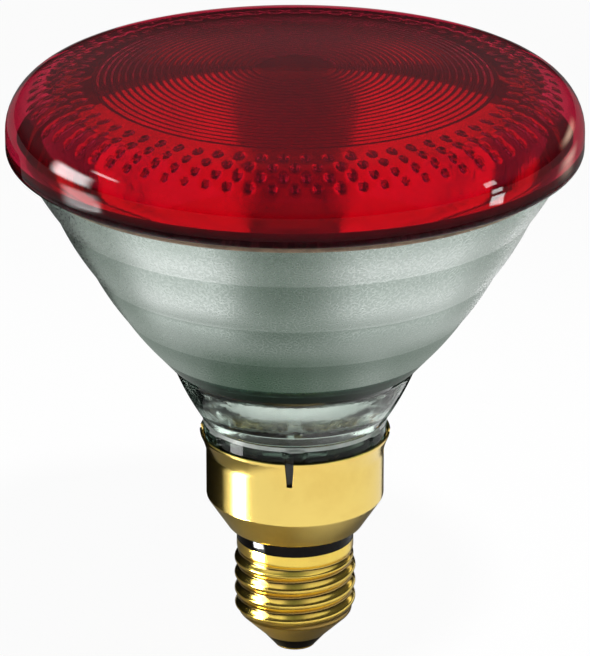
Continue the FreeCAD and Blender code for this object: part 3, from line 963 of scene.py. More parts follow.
@dataclass
class Lens:
    """Red domed lens: smooth crown outside, rings and lenslets pressed into its inner face."""

    radius: float = 60.45
    foot: float = 114.3
    top: float = 134.0
    land: float = 52.85
    bore: float = 55.25
    crown_curve: float = 300.0
    wall: float = 4.2
    shoulder: float = 10.0
    edge: float = 2.0
    corner_start: float = 48.0
    disc_radius: float = 8.1
    ring_pitch: float = 1.46
    ring_count: int = 23
    ring_depth: float = 0.16
    belt: tuple[BeltRow, ...] = (
        BeltRow(45.6, 65, 1.6),
        BeltRow(48.8, 69, 1.25),
        BeltRow(51.2, 72, 0.95),
        BeltRow(53.2, 75, 0.85),
    )
    lenslet_radius: float = 0.95
    lenslet_depth: float = 0.4
    fused_wall: float = 0.3
    wall_power: int = 4
    wall_rows: int = 6
    bevel_rows: int = 8
    band_run: float = 2.0
    shoulder_rows: int = 12
    crown_rows: int = 20
    disc_rows: int = 6
    rows_a_ring: int = 4
    lead_rows: int = 18
    corner_rows: int = 25
    segments: int = 360

    @property
    def inner_curve(self) -> float:
        """Return the radius of the crown's inner sphere."""
        return self.crown_curve - self.wall

    def crown(self, radius: Levels, curve: float) -> Levels:
        """Return the level of a sphere about the crown's centre at a radius."""
        return self.top - self.crown_curve + np.sqrt(curve**2 - radius**2)

    def outer_profile(self) -> Profile:
        """Draw the outer face.

        Returns:
            The points from its land up to the apex.
        """
        centre = self.radius - self.shoulder
        span = self.crown_curve - self.shoulder
        level = self.top - self.crown_curve + math.sqrt(span**2 - centre**2)
        sweep = math.acos(centre / span)
        band_foot = (self.radius, self.foot + self.edge)
        profile = arc((self.radius - self.edge, self.foot), band_foot, self.edge, self.bevel_rows)
        profile += divided([band_foot, (self.radius, level)], self.band_run)[1:]
        for step in range(1, self.shoulder_rows + 1):
            swing = sweep * step / self.shoulder_rows
            out, up = self.shoulder * math.cos(swing), self.shoulder * math.sin(swing)
            profile.append((centre + out, level + up))
        start = profile[-1][0]
        for share in np.linspace(0, 1, self.crown_rows + 1)[1:-1]:
            r = start * (1 - share)
            profile.append((r, float(self.crown(r, self.crown_curve))))
        profile.append((0.0, self.top))
        return profile

    def ring_relief(self, radius: np.ndarray) -> np.ndarray:
        """Find how far the pressed rings stand in from the inner crown.

        Args:
            radius: Radii on the inner crown.

        Returns:
            One depth for each radius.
        """
        phase = (radius - self.disc_radius) / self.ring_pitch
        inside = (radius > self.disc_radius) & (phase < self.ring_count)
        return np.where(inside, self.ring_depth * (0.5 - 0.5 * np.cos(TURN * phase)), 0.0)

    def belt_relief(self, run: float, radius: float, segments: int) -> np.ndarray:
        """Find how far the lenslets stand in from the inner face round one ring.

        Args:
            run: The ring's distance from the apex, along the inner face.
            radius: The ring's radius.
            segments: Points in the ring.

        Returns:
            One depth for each point.
        """
        angles = around(segments)
        depth = np.zeros(segments)
        for index, row in enumerate(self.belt):
            step = TURN / row.count
            offset = FRONT + 0.5 * step * ((index + 1) % 2)
            along = ((angles - offset + step / 2) % step - step / 2) * radius / self.lenslet_radius
            distance = np.hypot(along, (run - row.run) / row.reach)
            depth = np.maximum(depth, self.lenslet_depth * (1 - np.minimum(distance, 1)**2))
        return depth

    def belt_path(self, start: float) -> np.ndarray:
        """Draw the inner face from a radius on the crown, over the corner, to the top of the wall.

        Args:
            start: Radius of the first point.

        Returns:
            One row a point: distance from the apex, radius, level, and the inward way's two parts.
        """
        radii = np.linspace(start, self.corner_start, self.lead_rows + 1)
        levels = self.crown(radii, self.inner_curve)
        lean = math.asin(self.corner_start / self.inner_curve)
        bend = (self.bore - self.corner_start) / (1 - math.sin(lean))
        swings = np.linspace(lean, TURN / 4, self.corner_rows + 1)[1:]
        corner_radii = self.bore - bend * (1 - np.sin(swings))
        corner_levels = levels[-1] - bend * (math.cos(lean) - np.cos(swings))
        points = np.column_stack([
            np.concatenate([radii, corner_radii]),
            np.concatenate([levels, corner_levels]),
        ])
        ahead = np.gradient(points, axis=0)
        ahead /= np.linalg.norm(ahead, axis=1, keepdims=True)
        chords = np.linalg.norm(np.diff(points, axis=0), axis=1)
        runs = start + np.concatenate([[0.0], np.cumsum(chords)])
        return np.column_stack([runs, points, ahead[:, 1], -ahead[:, 0]])

    def add_outer(self, lathe: Lathe) -> np.ndarray:
        """Add the outer face.

        Args:
            lathe: The lens's mesh.

        Returns:
            The face's lowest ring.
        """
        rows = lathe.rings(self.outer_profile(), self.segments)
        zones = [LensZone.PLAIN] * len(rows)
        zones[1:self.bevel_rows + 1] = [LensZone.BEVEL] * self.bevel_rows
        lathe.join(rows, closed=False, zones=zones)
        return rows[0]

    def add_inner_crown(self, lathe: Lathe, ring_end: float) -> np.ndarray:
        """Add the inner face's middle disc and its pressed rings.

        Args:
            lathe: The lens's mesh.
            ring_end: Radius at which the rings end.

        Returns:
            The widest ring.
        """
        ring_rows = self.ring_count * self.rows_a_ring
        radii = np.concatenate([
            np.linspace(0, self.disc_radius, self.disc_rows + 1)[1:],
            np.linspace(self.disc_radius, ring_end, ring_rows + 1)[1:],
        ])
        levels = self.crown(radii, self.inner_curve) - self.ring_relief(radii)
        rows = [lathe.pole(float(self.crown(0.0, self.inner_curve)))]
        rows += [lathe.ring(r, z, self.segments) for r, z in zip(radii, levels)]
        lathe.join(rows, closed=False)
        return rows[-1]

    def build(self, effects: Effects) -> Item:
        """Build the lens.

        Args:
            effects: The shared node groups.

        Returns:
            The finished piece.
        """
        lathe = Lathe()
        land = self.add_outer(lathe)
        ring_end = self.disc_radius + self.ring_pitch * self.ring_count
        last = self.add_inner_crown(lathe, ring_end)
        fine = self.segments * 2
        before = np.zeros(fine)
        path = self.belt_path(ring_end)[1:]
        for run, r, z, in_r, in_z in path:
            depth = self.belt_relief(run, r, fine)
            row = lathe.ring(r + depth * in_r, z + depth * in_z, fine)
            raised = before + depth + np.roll(before + depth, -1)
            # Lenslet faces take the darker red glass: painted shade.
            zones = np.where(raised > self.lenslet_depth, LensZone.LENSLET, LensZone.PLAIN)
            lathe.skin(last, row, zones if len(last) == fine else LensZone.PLAIN)
            last, before = row, depth
        wall_top = path[-1][2]
        # The lower wall takes the opaque seam finish: partly fused seam, partly painted shade.
        for share in np.linspace(0, 1, self.wall_rows + 1)[1:]:
            r = self.bore + (self.land - self.bore) * share**self.wall_power
            row = lathe.ring(r, wall_top + (self.foot - wall_top) * share, fine)
            lathe.skin(last, row, LensZone.SEAM if share > self.fused_wall else LensZone.PLAIN)
            last = row
        lathe.skin(last, land, LensZone.SEAM)
        finishes = (RED_GLASS, FUSED_SEAM_AND_SHADE, BEVEL_GLASS, DARKENED_LENSLET_GLASS)
        piece = lathe.piece("lens_dressed", *(finish.build(effects) for finish in finishes))
        return settle(piece, Slot.RED_GLASS, "lens")


@dataclass
class RimSeal:
    """Bead of sealing compound squeezed between the bowl's rim and the lens."""

    inner: float = 52.85
    outer: float = 56.55
    foot: float = 112.5
    top: float = 114.3
    bulge: float = 0.35
    unevenness: float = 0.4
    waves: tuple[Wave, ...] = ((0.10, 5, 0.7), (0.07, 13, 2.1), (0.05, 31, 0.0))
    bead_rows: int = 8
    segments: int = 240

    def build(self, effects: Effects) -> Item:
        """Build the bead, slightly uneven round the lamp.

        Args:
            effects: The shared node groups.

        Returns:
            The finished piece.
        """
        lathe = Lathe()
        swell = self.bulge + self.unevenness * uneven(self.waves, self.segments)
        rows = [lathe.ring(self.inner, self.foot, self.segments)]
        for step in range(self.bead_rows + 1):
            swing = math.pi * step / self.bead_rows
            out = self.outer - self.bulge + swell * math.sin(swing)
            level = self.foot + (self.top - self.foot) * (0.5 - 0.5 * math.cos(swing))
            rows.append(lathe.ring(out, level, self.segments))
        rows.append(lathe.ring(self.inner, self.top, self.segments))
        lathe.join(rows, closed=True)
        piece = lathe.piece("rim_seal_dressed", SEAL_COMPOUND.build(effects))
        return settle(piece, Slot.SEAL, "rim_seal")


@dataclass
class Reflector:
    """Pressed-glass bowl: satin bands, a clear neck and foot with lugs, and a mirrored inside."""

    foot_inner: float = 14.75
    foot_radius: float = 18.35
    foot_bottom: float = 45.3
    lip_foot: float = 47.1
    lip_top: float = 51.3
    foot_lip_radius: float = 19.7
    foot_top: float = 54.9
    shoulder: Point = (20.5, 56.2)
    neck: Point = (25.9, 66.9)
    bands: tuple[Point, ...] = ((30.5, 72.1), (36.7, 80.1), (43.1, 90.3), (50.4, 102.9))
    rim: Point = (56.25, 112.5)
    curve: float = 60.0
    wall: float = 3.4
    throat: float = 22.1
    well_radius: float = 16.4
    well_top: float = 57.7
    floor_bottom: float = 50.9
    tube_hole: float = 2.45
    foot_round: float = 0.5
    step_round: float = 0.6
    mirror_round: float = 40.0
    rise_start: float = 0.05
    lug_count: int = 6
    lug_level: float = 53.1
    lug_half_width: float = 2.2
    lug_half_height: float = 1.4
    lug_depth: float = 0.5
    lug_edge: float = 1.12
    lug_slope: float = 0.3
    mirror_foot: float = 54.89
    satin_foot: float = 71.9
    ledge_foot: float = 54.0
    ledge_top: float = 56.0
    foot_rows: int = 24
    neck_rows: int = 14
    band_rows: int = 12
    mirror_rows: int = 6
    step_run: float = 0.4
    segments: int = 264

    def lugs(self, level: float) -> np.ndarray:
        """Find how far the lugs stand out round one ring.

        Args:
            level: The ring's height.

        Returns:
            One depth for each point.
        """
        step = TURN / self.lug_count
        swing = (around(self.segments) - FRONT + step / 2) % step - step / 2
        along = np.abs(swing) * self.foot_lip_radius
        past = np.maximum(along - (self.lug_half_width - self.lug_half_height), 0.0)
        distance = np.hypot(past, level - self.lug_level) / self.lug_half_height
        return self.lug_depth * np.clip((self.lug_edge - distance) / self.lug_slope, 0.0, 1.0)

    def outer_rows(self) -> list[tuple[float, float, BowlZone]]:
        """Draw the outer face.

        Returns:
            Radius, level and zone of each row, from the foot to the rim.
        """
        foot = rounded([
            (self.foot_inner, self.foot_bottom),
            (self.foot_radius, self.foot_bottom),
            (self.foot_radius, self.lip_foot),
            (self.foot_lip_radius, self.lip_top),
        ], self.foot_round)
        # The foot below the lip and, further on, the step under the satin take the edge glass:
        # painted shade.
        rows = [(r, z, BowlZone.EDGE) for r, z in foot]
        for z in np.linspace(self.lip_top, self.foot_top, self.foot_rows + 1)[1:]:
            zone = BowlZone.LEDGE if z > self.ledge_foot else BowlZone.FOOT
            rows.append((self.foot_lip_radius, float(z), zone))
        rise = rounded([
            (self.foot_lip_radius, self.foot_top - self.rise_start),
            (self.foot_lip_radius, self.foot_top),
            *arc(self.shoulder, self.neck, self.curve, self.neck_rows),
        ], self.foot_round)
        for r, z in rise[1:]:
            rows.append((r, z, BowlZone.CLEAR if z > self.ledge_top else BowlZone.LEDGE))
        step = rounded([self.neck, self.bands[0], self.bands[1]], self.step_round)
        for r, z in divided([self.neck, step[1]], self.step_run)[1:]:
            rows.append((r, z, BowlZone.SATIN if z > self.satin_foot else BowlZone.EDGE))
        corners = [*self.bands, self.rim]
        for low, high in zip(corners, corners[1:]):
            band = arc(low, high, self.curve, self.band_rows)
            rows += [(r, z, BowlZone.SATIN) for r, z in band[1:]]
        return rows

    def inner_profile(self) -> Profile:
        """Draw the mirrored face and the floor.

        Returns:
            The points from the rim down to the foot.
        """
        mirror = [(r - self.wall, z) for r, z in (self.rim, *reversed(self.bands))]
        mirror.append((self.throat, self.neck[1]))
        well = rounded([
            (self.throat, self.neck[1]),
            (self.well_radius, self.well_top),
            (self.well_radius, self.foot_top),
            (self.tube_hole, self.foot_top),
            (self.tube_hole, self.floor_bottom),
            (self.foot_inner, self.floor_bottom),
            (self.foot_inner, self.foot_bottom),
        ], self.step_round)
        return rounded(mirror, self.mirror_round, self.mirror_rows) + well[1:-1]

    def build(self, effects: Effects) -> Item:
        """Build the bowl.

        Args:
            effects: The shared node groups.

        Returns:
            The finished piece.
        """
        lathe = Lathe()
        rows = []
        zones = []
        for r, z, zone in self.outer_rows():
            out = self.lugs(z) if self.lip_top < z < self.foot_top else 0.0
            rows.append(lathe.ring(r + out, z, self.segments))
            zones.append(zone)
        for r, z in self.inner_profile():
            rows.append(lathe.ring(r, z, self.segments))
            zones.append(BowlZone.MIRROR if z > self.mirror_foot else BowlZone.FOOT)
        lathe.join(rows, closed=True, zones=zones)
        # The dark edge and foot glass are painted shade; the pale ledge finish is a painted
        # highlight.
        finishes = (SATIN, CLEAR_GLASS, MIRROR, SHADED_EDGE_GLASS, SHADED_FOOT_GLASS, PAINTED_LEDGE_HIGHLIGHT)
        piece = lathe.piece("reflector_dressed", *(finish.build(effects) for finish in finishes))
        return settle(piece, Slot.CLEAR_GLASS, "reflector")


@dataclass
class Skirt:
    """Drawn brass sleeve with a flared lip and four tapered slots."""

    hole: float = 11.55
    foot_radius: float = 14.5
    foot: float = 29.7
    radius: float = 19.05
    shoulder: float = 36.7
    lip_foot: float = 47.1
    lip_top: float = 51.3
    lip_radius: float = 20.4
    flare_end: Point = (-0.12, -0.5)
    flare_curve: float = -16.0
    lip_curve: float = -1.2
    corner_round: float = 0.9
    corner_rows: int = 6
    flare_rows: int = 10
    lip_rows: int = 3
    low_run: float = 0.8
    wall: float = 0.45
    slot_mouth: float = 1.9
    slot_foot: float = 1.2
    slot_bottom: float = 45.6
    slot_curve: float = 1.44
    slot_turn: float = -3.5
    slot_count: int = 4
    slot_margin: float = 0.1
    slot_run: float = 0.03
    plain_run: float = 5.0
    weld_gap: float = 0.002
    burr: float = 0.08
    burr_angle: float = 50.0
    columns: int = 64

    def profile(self) -> Profile:
        """Draw the outer face.

        Returns:
            The points from the hole in the floor up to the lip.
        """
        low = rounded([
            (self.hole, self.foot),
            (self.foot_radius, self.foot),
            (self.radius, self.shoulder),
            (self.radius, self.lip_foot),
        ], self.corner_round, self.corner_rows)
        end = (self.lip_radius + self.flare_end[0], self.lip_top + self.flare_end[1])
        flare = arc((self.radius, self.lip_foot), end, self.flare_curve, self.flare_rows)
        lip = arc(flare[-1], (self.lip_radius, self.lip_top), self.lip_curve, self.lip_rows)
        return divided(low, self.low_run) + flare[1:] + lip[1:]

    def slot_end(self) -> float:
        """Return the level at which a slot's round foot meets its sides."""
        rise = math.sqrt(self.slot_curve**2 - (self.slot_foot / 2) ** 2)
        return self.slot_bottom + self.slot_curve - rise

    def slot_half(self, level: float, radius: float) -> float:
        """Find half of a slot's width.

        Args:
            level: Height on the sleeve.
            radius: The sleeve's radius there.

        Returns:
            Half the slot's angle in radians, or 0 under the slot.
        """
        foot = self.slot_foot / 2
        end = self.slot_end()
        if level <= self.slot_bottom:
            return 0.0
        if level < end:
            drop = self.slot_bottom + self.slot_curve - level
            return math.sqrt(self.slot_curve**2 - drop**2) / radius
        share = (level - end) / (self.lip_top - end)
        return (foot + (self.slot_mouth / 2 - foot) * share) / radius

    def rows(self) -> Profile:
        """Add rows to the profile where a slot's round foot lies.

        Returns:
            The profile with those rows.
        """
        profile = self.profile()
        high = self.slot_end() + self.slot_margin
        low = self.slot_bottom - self.slot_margin
        fine: Profile = []
        for start, finish in zip(profile, profile[1:]):
            crossing = start[1] < high and finish[1] > low
            fine += divided([start, finish], self.slot_run if crossing else self.plain_run)[:-1]
        return [*fine, profile[-1]]

    def build(self, effects: Effects) -> Item:
        """Build the sleeve.

        Args:
            effects: The shared node groups.

        Returns:
            The finished piece.
        """
        lathe = Lathe()
        rows = self.rows()
        sector = TURN / self.slot_count
        start = FRONT + math.radians(self.slot_turn)
        for turn in range(self.slot_count):
            last: np.ndarray | None = None
            for r, z in rows:
                half = self.slot_half(z, r)
                swings = np.linspace(half, sector - half, self.columns + 1)
                row = lathe.ring(r, z, start + turn * sector + swings)
                if last is not None:
                    lathe.add((last[:-1], last[1:], row[1:], row[:-1]))
                last = row
        piece = lathe.piece("skirt_dressed", SKIRT_BRASS.build(effects))
        weld = piece.modifiers.new("weld_sectors", "WELD")
        weld.merge_threshold = self.weld_gap * MM
        sheet = piece.modifiers.new("sheet", "SOLIDIFY")
        sheet.thickness = self.wall * MM
        sheet.offset = -1.0
        sheet.use_even_offset = True
        bevel = piece.modifiers.new("deburred", "BEVEL")
        bevel.width = self.burr * MM
        bevel.segments = 2
        bevel.limit_method = "ANGLE"
        bevel.angle_limit = math.radians(self.burr_angle)
        return settle(piece, Slot.SKIRT, "skirt")


@dataclass
class ScrewCap:
    """Rolled screw shell, the black insulators above and below it, and the contact."""

    mouth: float = 7.0
    mouth_level: float = 4.1
    root: float = 12.2
    depth: float = 0.9
    thread_foot: float = 9.2
    thread_top: float = 23.5
    thread_turn: float = math.pi
    crest_rise: float = 1.3
    crest_power: float = 0.8
    run_in: float = 1.6
    run_out: float = 1.2
    run_out_gap: float = 0.2
    pitch: float = 3.629
    band: float = 12.6
    band_foot: float = 24.3
    band_top: float = 26.5
    wall: float = 0.4
    shell_round: float = 0.9
    shell_rows: int = 5
    shell_run: float = 0.16
    inner_every: int = 4
    segments: int = 192
    ring: tuple[Point, ...] = (
        (10.0, 24.4), (12.1, 24.4), (12.1, 26.5), (12.6, 26.5),
        (12.6, 29.7), (11.5, 29.7), (11.5, 31.0), (10.0, 31.0),
    )
    cone: tuple[Point, ...] = (
        (1.55, 1.4), (4.7, 1.4), (7.0, 4.1), (6.5, 4.1), (10.48, 8.0), (1.55, 8.0),
    )
    plate: tuple[Point, ...] = (
        (1.1, 0.9), (4.4, 0.9), (4.4, 1.4), (1.5, 1.4), (1.5, 3.4), (1.1, 3.4),
    )
    ring_round: float = 0.45
    cone_round: float = 0.35
    plate_round: float = 0.2
    ring_segments: int = 160
    cone_segments: int = 120
    plate_segments: int = 96
    drop_radius: float = 3.25
    drop_height: float = 0.9
    drop_power: float = 2.6
    drop_waves: tuple[Wave, ...] = ((0.03, 3, 0.4), (0.02, 7, 1.3))
    drop_start: float = 0.1
    drop_even: float = 0.5
    drop_rows: int = 12
    drop_segments: int = 96

    def thread(self, level: float) -> np.ndarray:
        """Find the thread's height above its root round one ring.

        Args:
            level: The ring's height on the shell.

        Returns:
            One height for each point.
        """
        crest = self.thread_foot + self.crest_rise
        swing = (around(self.segments) - self.thread_turn) / TURN
        phase = (level - crest) / self.pitch - swing
        knuckle = (0.5 + 0.5 * np.cos(TURN * phase)) ** self.crest_power
        start = np.clip((level - self.thread_foot) / self.run_in, 0, 1)
        end = np.clip((self.thread_top - self.run_out_gap - level) / self.run_out, 0, 1)
        return self.depth * knuckle * start * end

    def shell_profile(self) -> Profile:
        """Draw the shell's outer face without its thread.

        Returns:
            The points from the mouth to the top.
        """
        corners = [
            (self.mouth, self.mouth_level),
            (self.root, self.thread_foot),
            (self.root, self.thread_top),
            (self.band, self.band_foot),
            (self.band, self.band_top),
        ]
        return divided(rounded(corners, self.shell_round, self.shell_rows), self.shell_run)

    def build_shell(self, effects: Effects) -> Item:
        """Build the rolled shell.

        Args:
            effects: The shared node groups.

        Returns:
            The finished piece.
        """
        lathe = Lathe()
        profile = [(r + self.thread(z), z) for r, z in self.shell_profile()]
        rows = [lathe.ring(r, z, self.segments) for r, z in profile]
        for r, z in reversed(profile[::self.inner_every]):
            rows.append(lathe.ring(r - self.wall, z, self.segments))
        lathe.join(rows, closed=True)
        piece = lathe.piece("screw_shell_dressed", SHELL_BRASS.build(effects))
        return settle(piece, Slot.SHELL, "screw_shell")

    @staticmethod
    def turned(profile: Sequence[Point], rounding: float, segments: int) -> Lathe:
        """Turn a closed profile.

        Args:
            profile: Corner points as radius and level.
            rounding: Rounding radius of the corners.
            segments: Points in each ring.

        Returns:
            The mesh in the making.
        """
        lathe = Lathe()
        lathe.join(lathe.rings(rounded(profile, rounding), segments), closed=True)
        return lathe

    def build_insulators(self, effects: Effects) -> None:
        """Build both black insulators.

        Args:
            effects: The shared node groups.
        """
        black = BLACK_GLASS.build(effects)
        ring = self.turned(self.ring, self.ring_round, self.ring_segments)
        cone = self.turned(self.cone, self.cone_round, self.cone_segments)
        settle(ring.piece("insulating_ring", black), Slot.BLACK_GLASS, "skirt_insulator")
        settle(cone.piece("insulating_cone", black), Slot.BLACK_GLASS, "base_insulator")

    def build_contact(self, effects: Effects) -> None:
        """Build the contact plate with its eyelet, and the solder drop.

        Args:
            effects: The shared node groups.
        """
        plate = self.turned(self.plate, self.plate_round, self.plate_segments)
        drop = Lathe()
        edge = 1 + uneven(self.drop_waves, self.drop_segments)
        rows = [drop.pole(0.0)]
        for share in np.linspace(self.drop_start, 1, self.drop_rows):
            radius = self.drop_radius * share * (edge if share > self.drop_even else 1.0)
            level = self.drop_height * share**self.drop_power
            rows.append(drop.ring(radius, level, self.drop_segments))
        rows.append(drop.pole(self.drop_height))
        drop.join(rows, closed=False)
        contact = plate.piece("contact_plate", SHELL_BRASS.build(effects))
        solder = drop.piece("solder_drop", SOLDER.build(effects))
        settle(contact, Slot.SHELL, "centre_contact")
        settle(solder, Slot.SOLDER, "contact_solder")


@dataclass
class FilamentMount:
    """Coiled filament between its posts, and the finishes of the other inner pieces."""

    half: float = 7.55
    level: float = 69.9
    coil_radius: float = 0.62
    wire: float = 0.16
    turns: int = 26
    steps_a_turn: int = 18
    sides: int = 8

    def build_coil(self, effects: Effects) -> Item:
        """Build the coil as a swept round wire.

        Args:
            effects: The shared node groups.

        Returns:
            The finished piece.
        """
        share = np.linspace(0, 1, self.turns * self.steps_a_turn + 1)
        swing = share * self.turns * TURN
        centre = np.stack([
            self.half * (2 * share - 1),
            self.coil_radius * np.cos(swing),
            self.level + self.coil_radius * np.sin(swing),
        ], axis=1)
        ahead = np.gradient(centre, axis=0)
        ahead /= np.linalg.norm(ahead, axis=1, keepdims=True)
        outward = np.stack([np.zeros(len(share)), np.cos(swing), np.sin(swing)], axis=1)
        angles = around(self.sides)
        lathe = Lathe()
        loops = []
        for c, o, s in zip(centre, outward, np.cross(ahead, outward)):
            way = np.outer(np.cos(angles), o) + np.outer(np.sin(angles), s)
            loops.append(lathe.keep(c + self.wire * way))
        lathe.join(loops, closed=False)
        for end in (loops[0][::-1], loops[-1]):
            lathe.add(end[:, None])
        piece = lathe.piece("filament_coil", TUNGSTEN.build(effects))
        return settle(piece, Slot.TUNGSTEN, "filament")

    def dress(self, effects: Effects) -> None:
        """Give the inner pieces that keep their CAD shape their finishes.

        Args:
            effects: The shared node groups.
        """
        for finish, names in (
            (NICKEL_IRON, ("ferrule_right", "ferrule_left", "lead_post_right", "lead_post_left")),
            (COPPER, ("live_wire", "return_wire")),
            (CLEAR_GLASS, ("glass_bridge", "exhaust_tube")),
            (TUNGSTEN, ("filament_hook",)),
        ):
            material = finish.build(effects)
            for name in names:
                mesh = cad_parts[name].data
                mesh.materials.clear()
                mesh.materials.append(material)
                LOG.info("%s: dressed with %s", name, material.name)


def limit_reach(item: Item, reach: Reach) -> None:
    """Let a light or card act on one kind of surface only, and never show to the camera.

    Args:
        item: The light or card.
        reach: What it acts on.
    """
    item.visible_camera = False
    item.visible_glossy = reach is Reach.GLOSS
    item.visible_transmission = reach is Reach.THROUGH
    item.visible_diffuse = reach is Reach.FLOOR


def point_at(item: Item, place: Place, aim: Place, front: str = "-Z") -> None:
    """Put an object at a place and turn its front to an aim.

    Args:
        item: The object.
        place: Where it goes, in metres.
        aim: What it faces.
        front: The axis that faces the aim.
    """
    item.location = place
    way = Vector(aim) - Vector(place)
    item.rotation_euler = way.to_track_quat(front, "Y").to_euler()


def flat_mesh(name: str, rows: Sequence[Sequence[Place]], material: Material) -> bpy.types.Mesh:
    """Make a strip of faces between two rows of points.

    Args:
        name: Mesh name.
        rows: Two rows with as many points each.
        material: The strip's material.

    Returns:
        The new mesh.
    """
    first, second = (np.array(row, dtype=float) for row in rows)
    count = len(first)
    mesh = bpy.data.meshes.new(name)
    faces = [(k, k + 1, k + count + 1, k + count) for k in range(count - 1)]
    mesh.from_pydata(np.concatenate([first, second]).tolist(), [], faces)
    mesh.materials.append(material)
    return mesh


def rectangle(across: float, up: float) -> list[list[Place]]:
    """Return two rows of corners of a level rectangle, from half of each side."""
    return [[(-across, level, 0), (across, level, 0)] for level in (-up, up)]


def set_card(name: str, mesh: bpy.types.Mesh, reach: Reach = Reach.GLOSS) -> Item:
    """Set up a card that casts no shadow.

    Args:
        name: Object name.
        mesh: The card's mesh.
        reach: What shows the card.

    Returns:
        The card.
    """
    card = link(bpy.data.objects.new(name, mesh))
    limit_reach(card, reach)
    card.visible_shadow = False
    return card


def make_glow(graph: Graph, shader: Node, colour: object, strength: float) -> None:
    """Turn a shader into a plain glow.

    Args:
        graph: The material's graph.
        shader: Its shader.
        colour: The glow's colour with its opacity, or a socket.
        strength: The glow's strength.
    """
    graph.dress(shader, Base_Color=rgba(BLACK), Roughness=1.0, Specular_IOR_Level=0.0)
    graph.dress(shader, Emission_Color=colour, Emission_Strength=strength)


@dataclass
class Softbox:
    """One soft studio light."""

    name: str
    place: Place
    aim: Place
    size: tuple[float, float]
    radiance: float
    reach: Reach = Reach.GLOSS
    spread: float = 180.0

    def build(self) -> None:
        """Build the light, with its power from its radiance."""
        data = bpy.data.lights.new(self.name, "AREA")
        data.shape = "RECTANGLE"
        data.spread = math.radians(self.spread)
        data.size, data.size_y = self.size
        data.energy = self.radiance * math.pi * self.size[0] * self.size[1]
        item = link(bpy.data.objects.new(self.name, data))
        point_at(item, self.place, self.aim)
        limit_reach(item, self.reach)


@dataclass
class PoolLight:
    """Overhead light that makes a soft pool on the floor round the lamp."""

    name: str
    place: Place
    aim: Place
    radius: float
    irradiance: float
    spread: float
    softness: float

    def build(self) -> None:
        """Build the light, with its power from the irradiance at its aim."""
        way = Vector(self.aim) - Vector(self.place)
        data = bpy.data.lights.new(self.name, "SPOT")
        data.shadow_soft_size = self.radius
        data.spot_size = math.radians(self.spread)
        data.spot_blend = self.softness
        data.energy = self.irradiance * 4 * math.pi * way.length_squared
        item = link(bpy.data.objects.new(self.name, data))
        point_at(item, self.place, self.aim)
        limit_reach(item, Reach.FLOOR)


@dataclass
class Flag:
    """Black upright arc about the lamp; its angles are degrees to the left of the front."""

    name: str
    radius: float
    start: float
    finish: float
    top: float
    reach: Reach = Reach.GLOSS
    colour: Colour = (0.004, 0.004, 0.004)
    points: int = 19

    def build(self) -> None:
        """Build the card."""
        angles = np.radians(np.linspace(self.start, self.finish, self.points))
        way = np.stack([-np.sin(angles), -np.cos(angles), np.zeros(self.points)], axis=1)
        foot = way * self.radius
        material, graph, shader = new_material(self.name)
        graph.dress(shader, Base_Color=rgba(self.colour), Roughness=1.0)
        head = foot + np.array([0.0, 0.0, self.top])
        set_card(self.name, flat_mesh(self.name, (foot, head), material), self.reach)


@dataclass
class SoftCard:
    """Glowing card with faded edges that only reflections show."""

    name: str
    place: Place
    aim: Place
    size: tuple[float, float]
    radiance: float
    fade: float
    colour: Colour = WHITE

    def build(self) -> None:
        """Build the card, facing its aim."""
        halves = (self.size[0] / 2, self.size[1] / 2)
        material, graph, shader = new_material(self.name)
        share: object = 1.0
        for part, half in zip(graph.axes(graph.place()), halves):
            reach = graph.calc("ABSOLUTE", part)
            share = graph.times(share, graph.ramp(reach, half * (1 - self.fade), half, 1.0, 0.0))
        make_glow(graph, shader, rgba(self.colour), self.radiance)
        graph.show_mix(share, graph.node("ShaderNodeBsdfTransparent"), shader)
        card = set_card(self.name, flat_mesh(self.name, rectangle(*halves), material))
        point_at(card, self.place, self.aim, "Z")


@dataclass(frozen=True)
class Shade:
    """Brightness of a level card at one radius, by degrees to the right of the lamp's front."""

    radius: float
    stops: tuple[Point, ...]

    def level(self, graph: Graph, angle: Socket) -> Socket:
        """Find the brightness at an angle.

        Args:
            graph: The material's graph.
            angle: Socket of the angle in degrees.

        Returns:
            The brightness's socket.
        """
        level: object = self.stops[0][1]
        for (start, low), (finish, high) in zip(self.stops, self.stops[1:]):
            level = graph.calc("ADD", level, graph.ramp(angle, start, finish, 0.0, high - low))
        return level


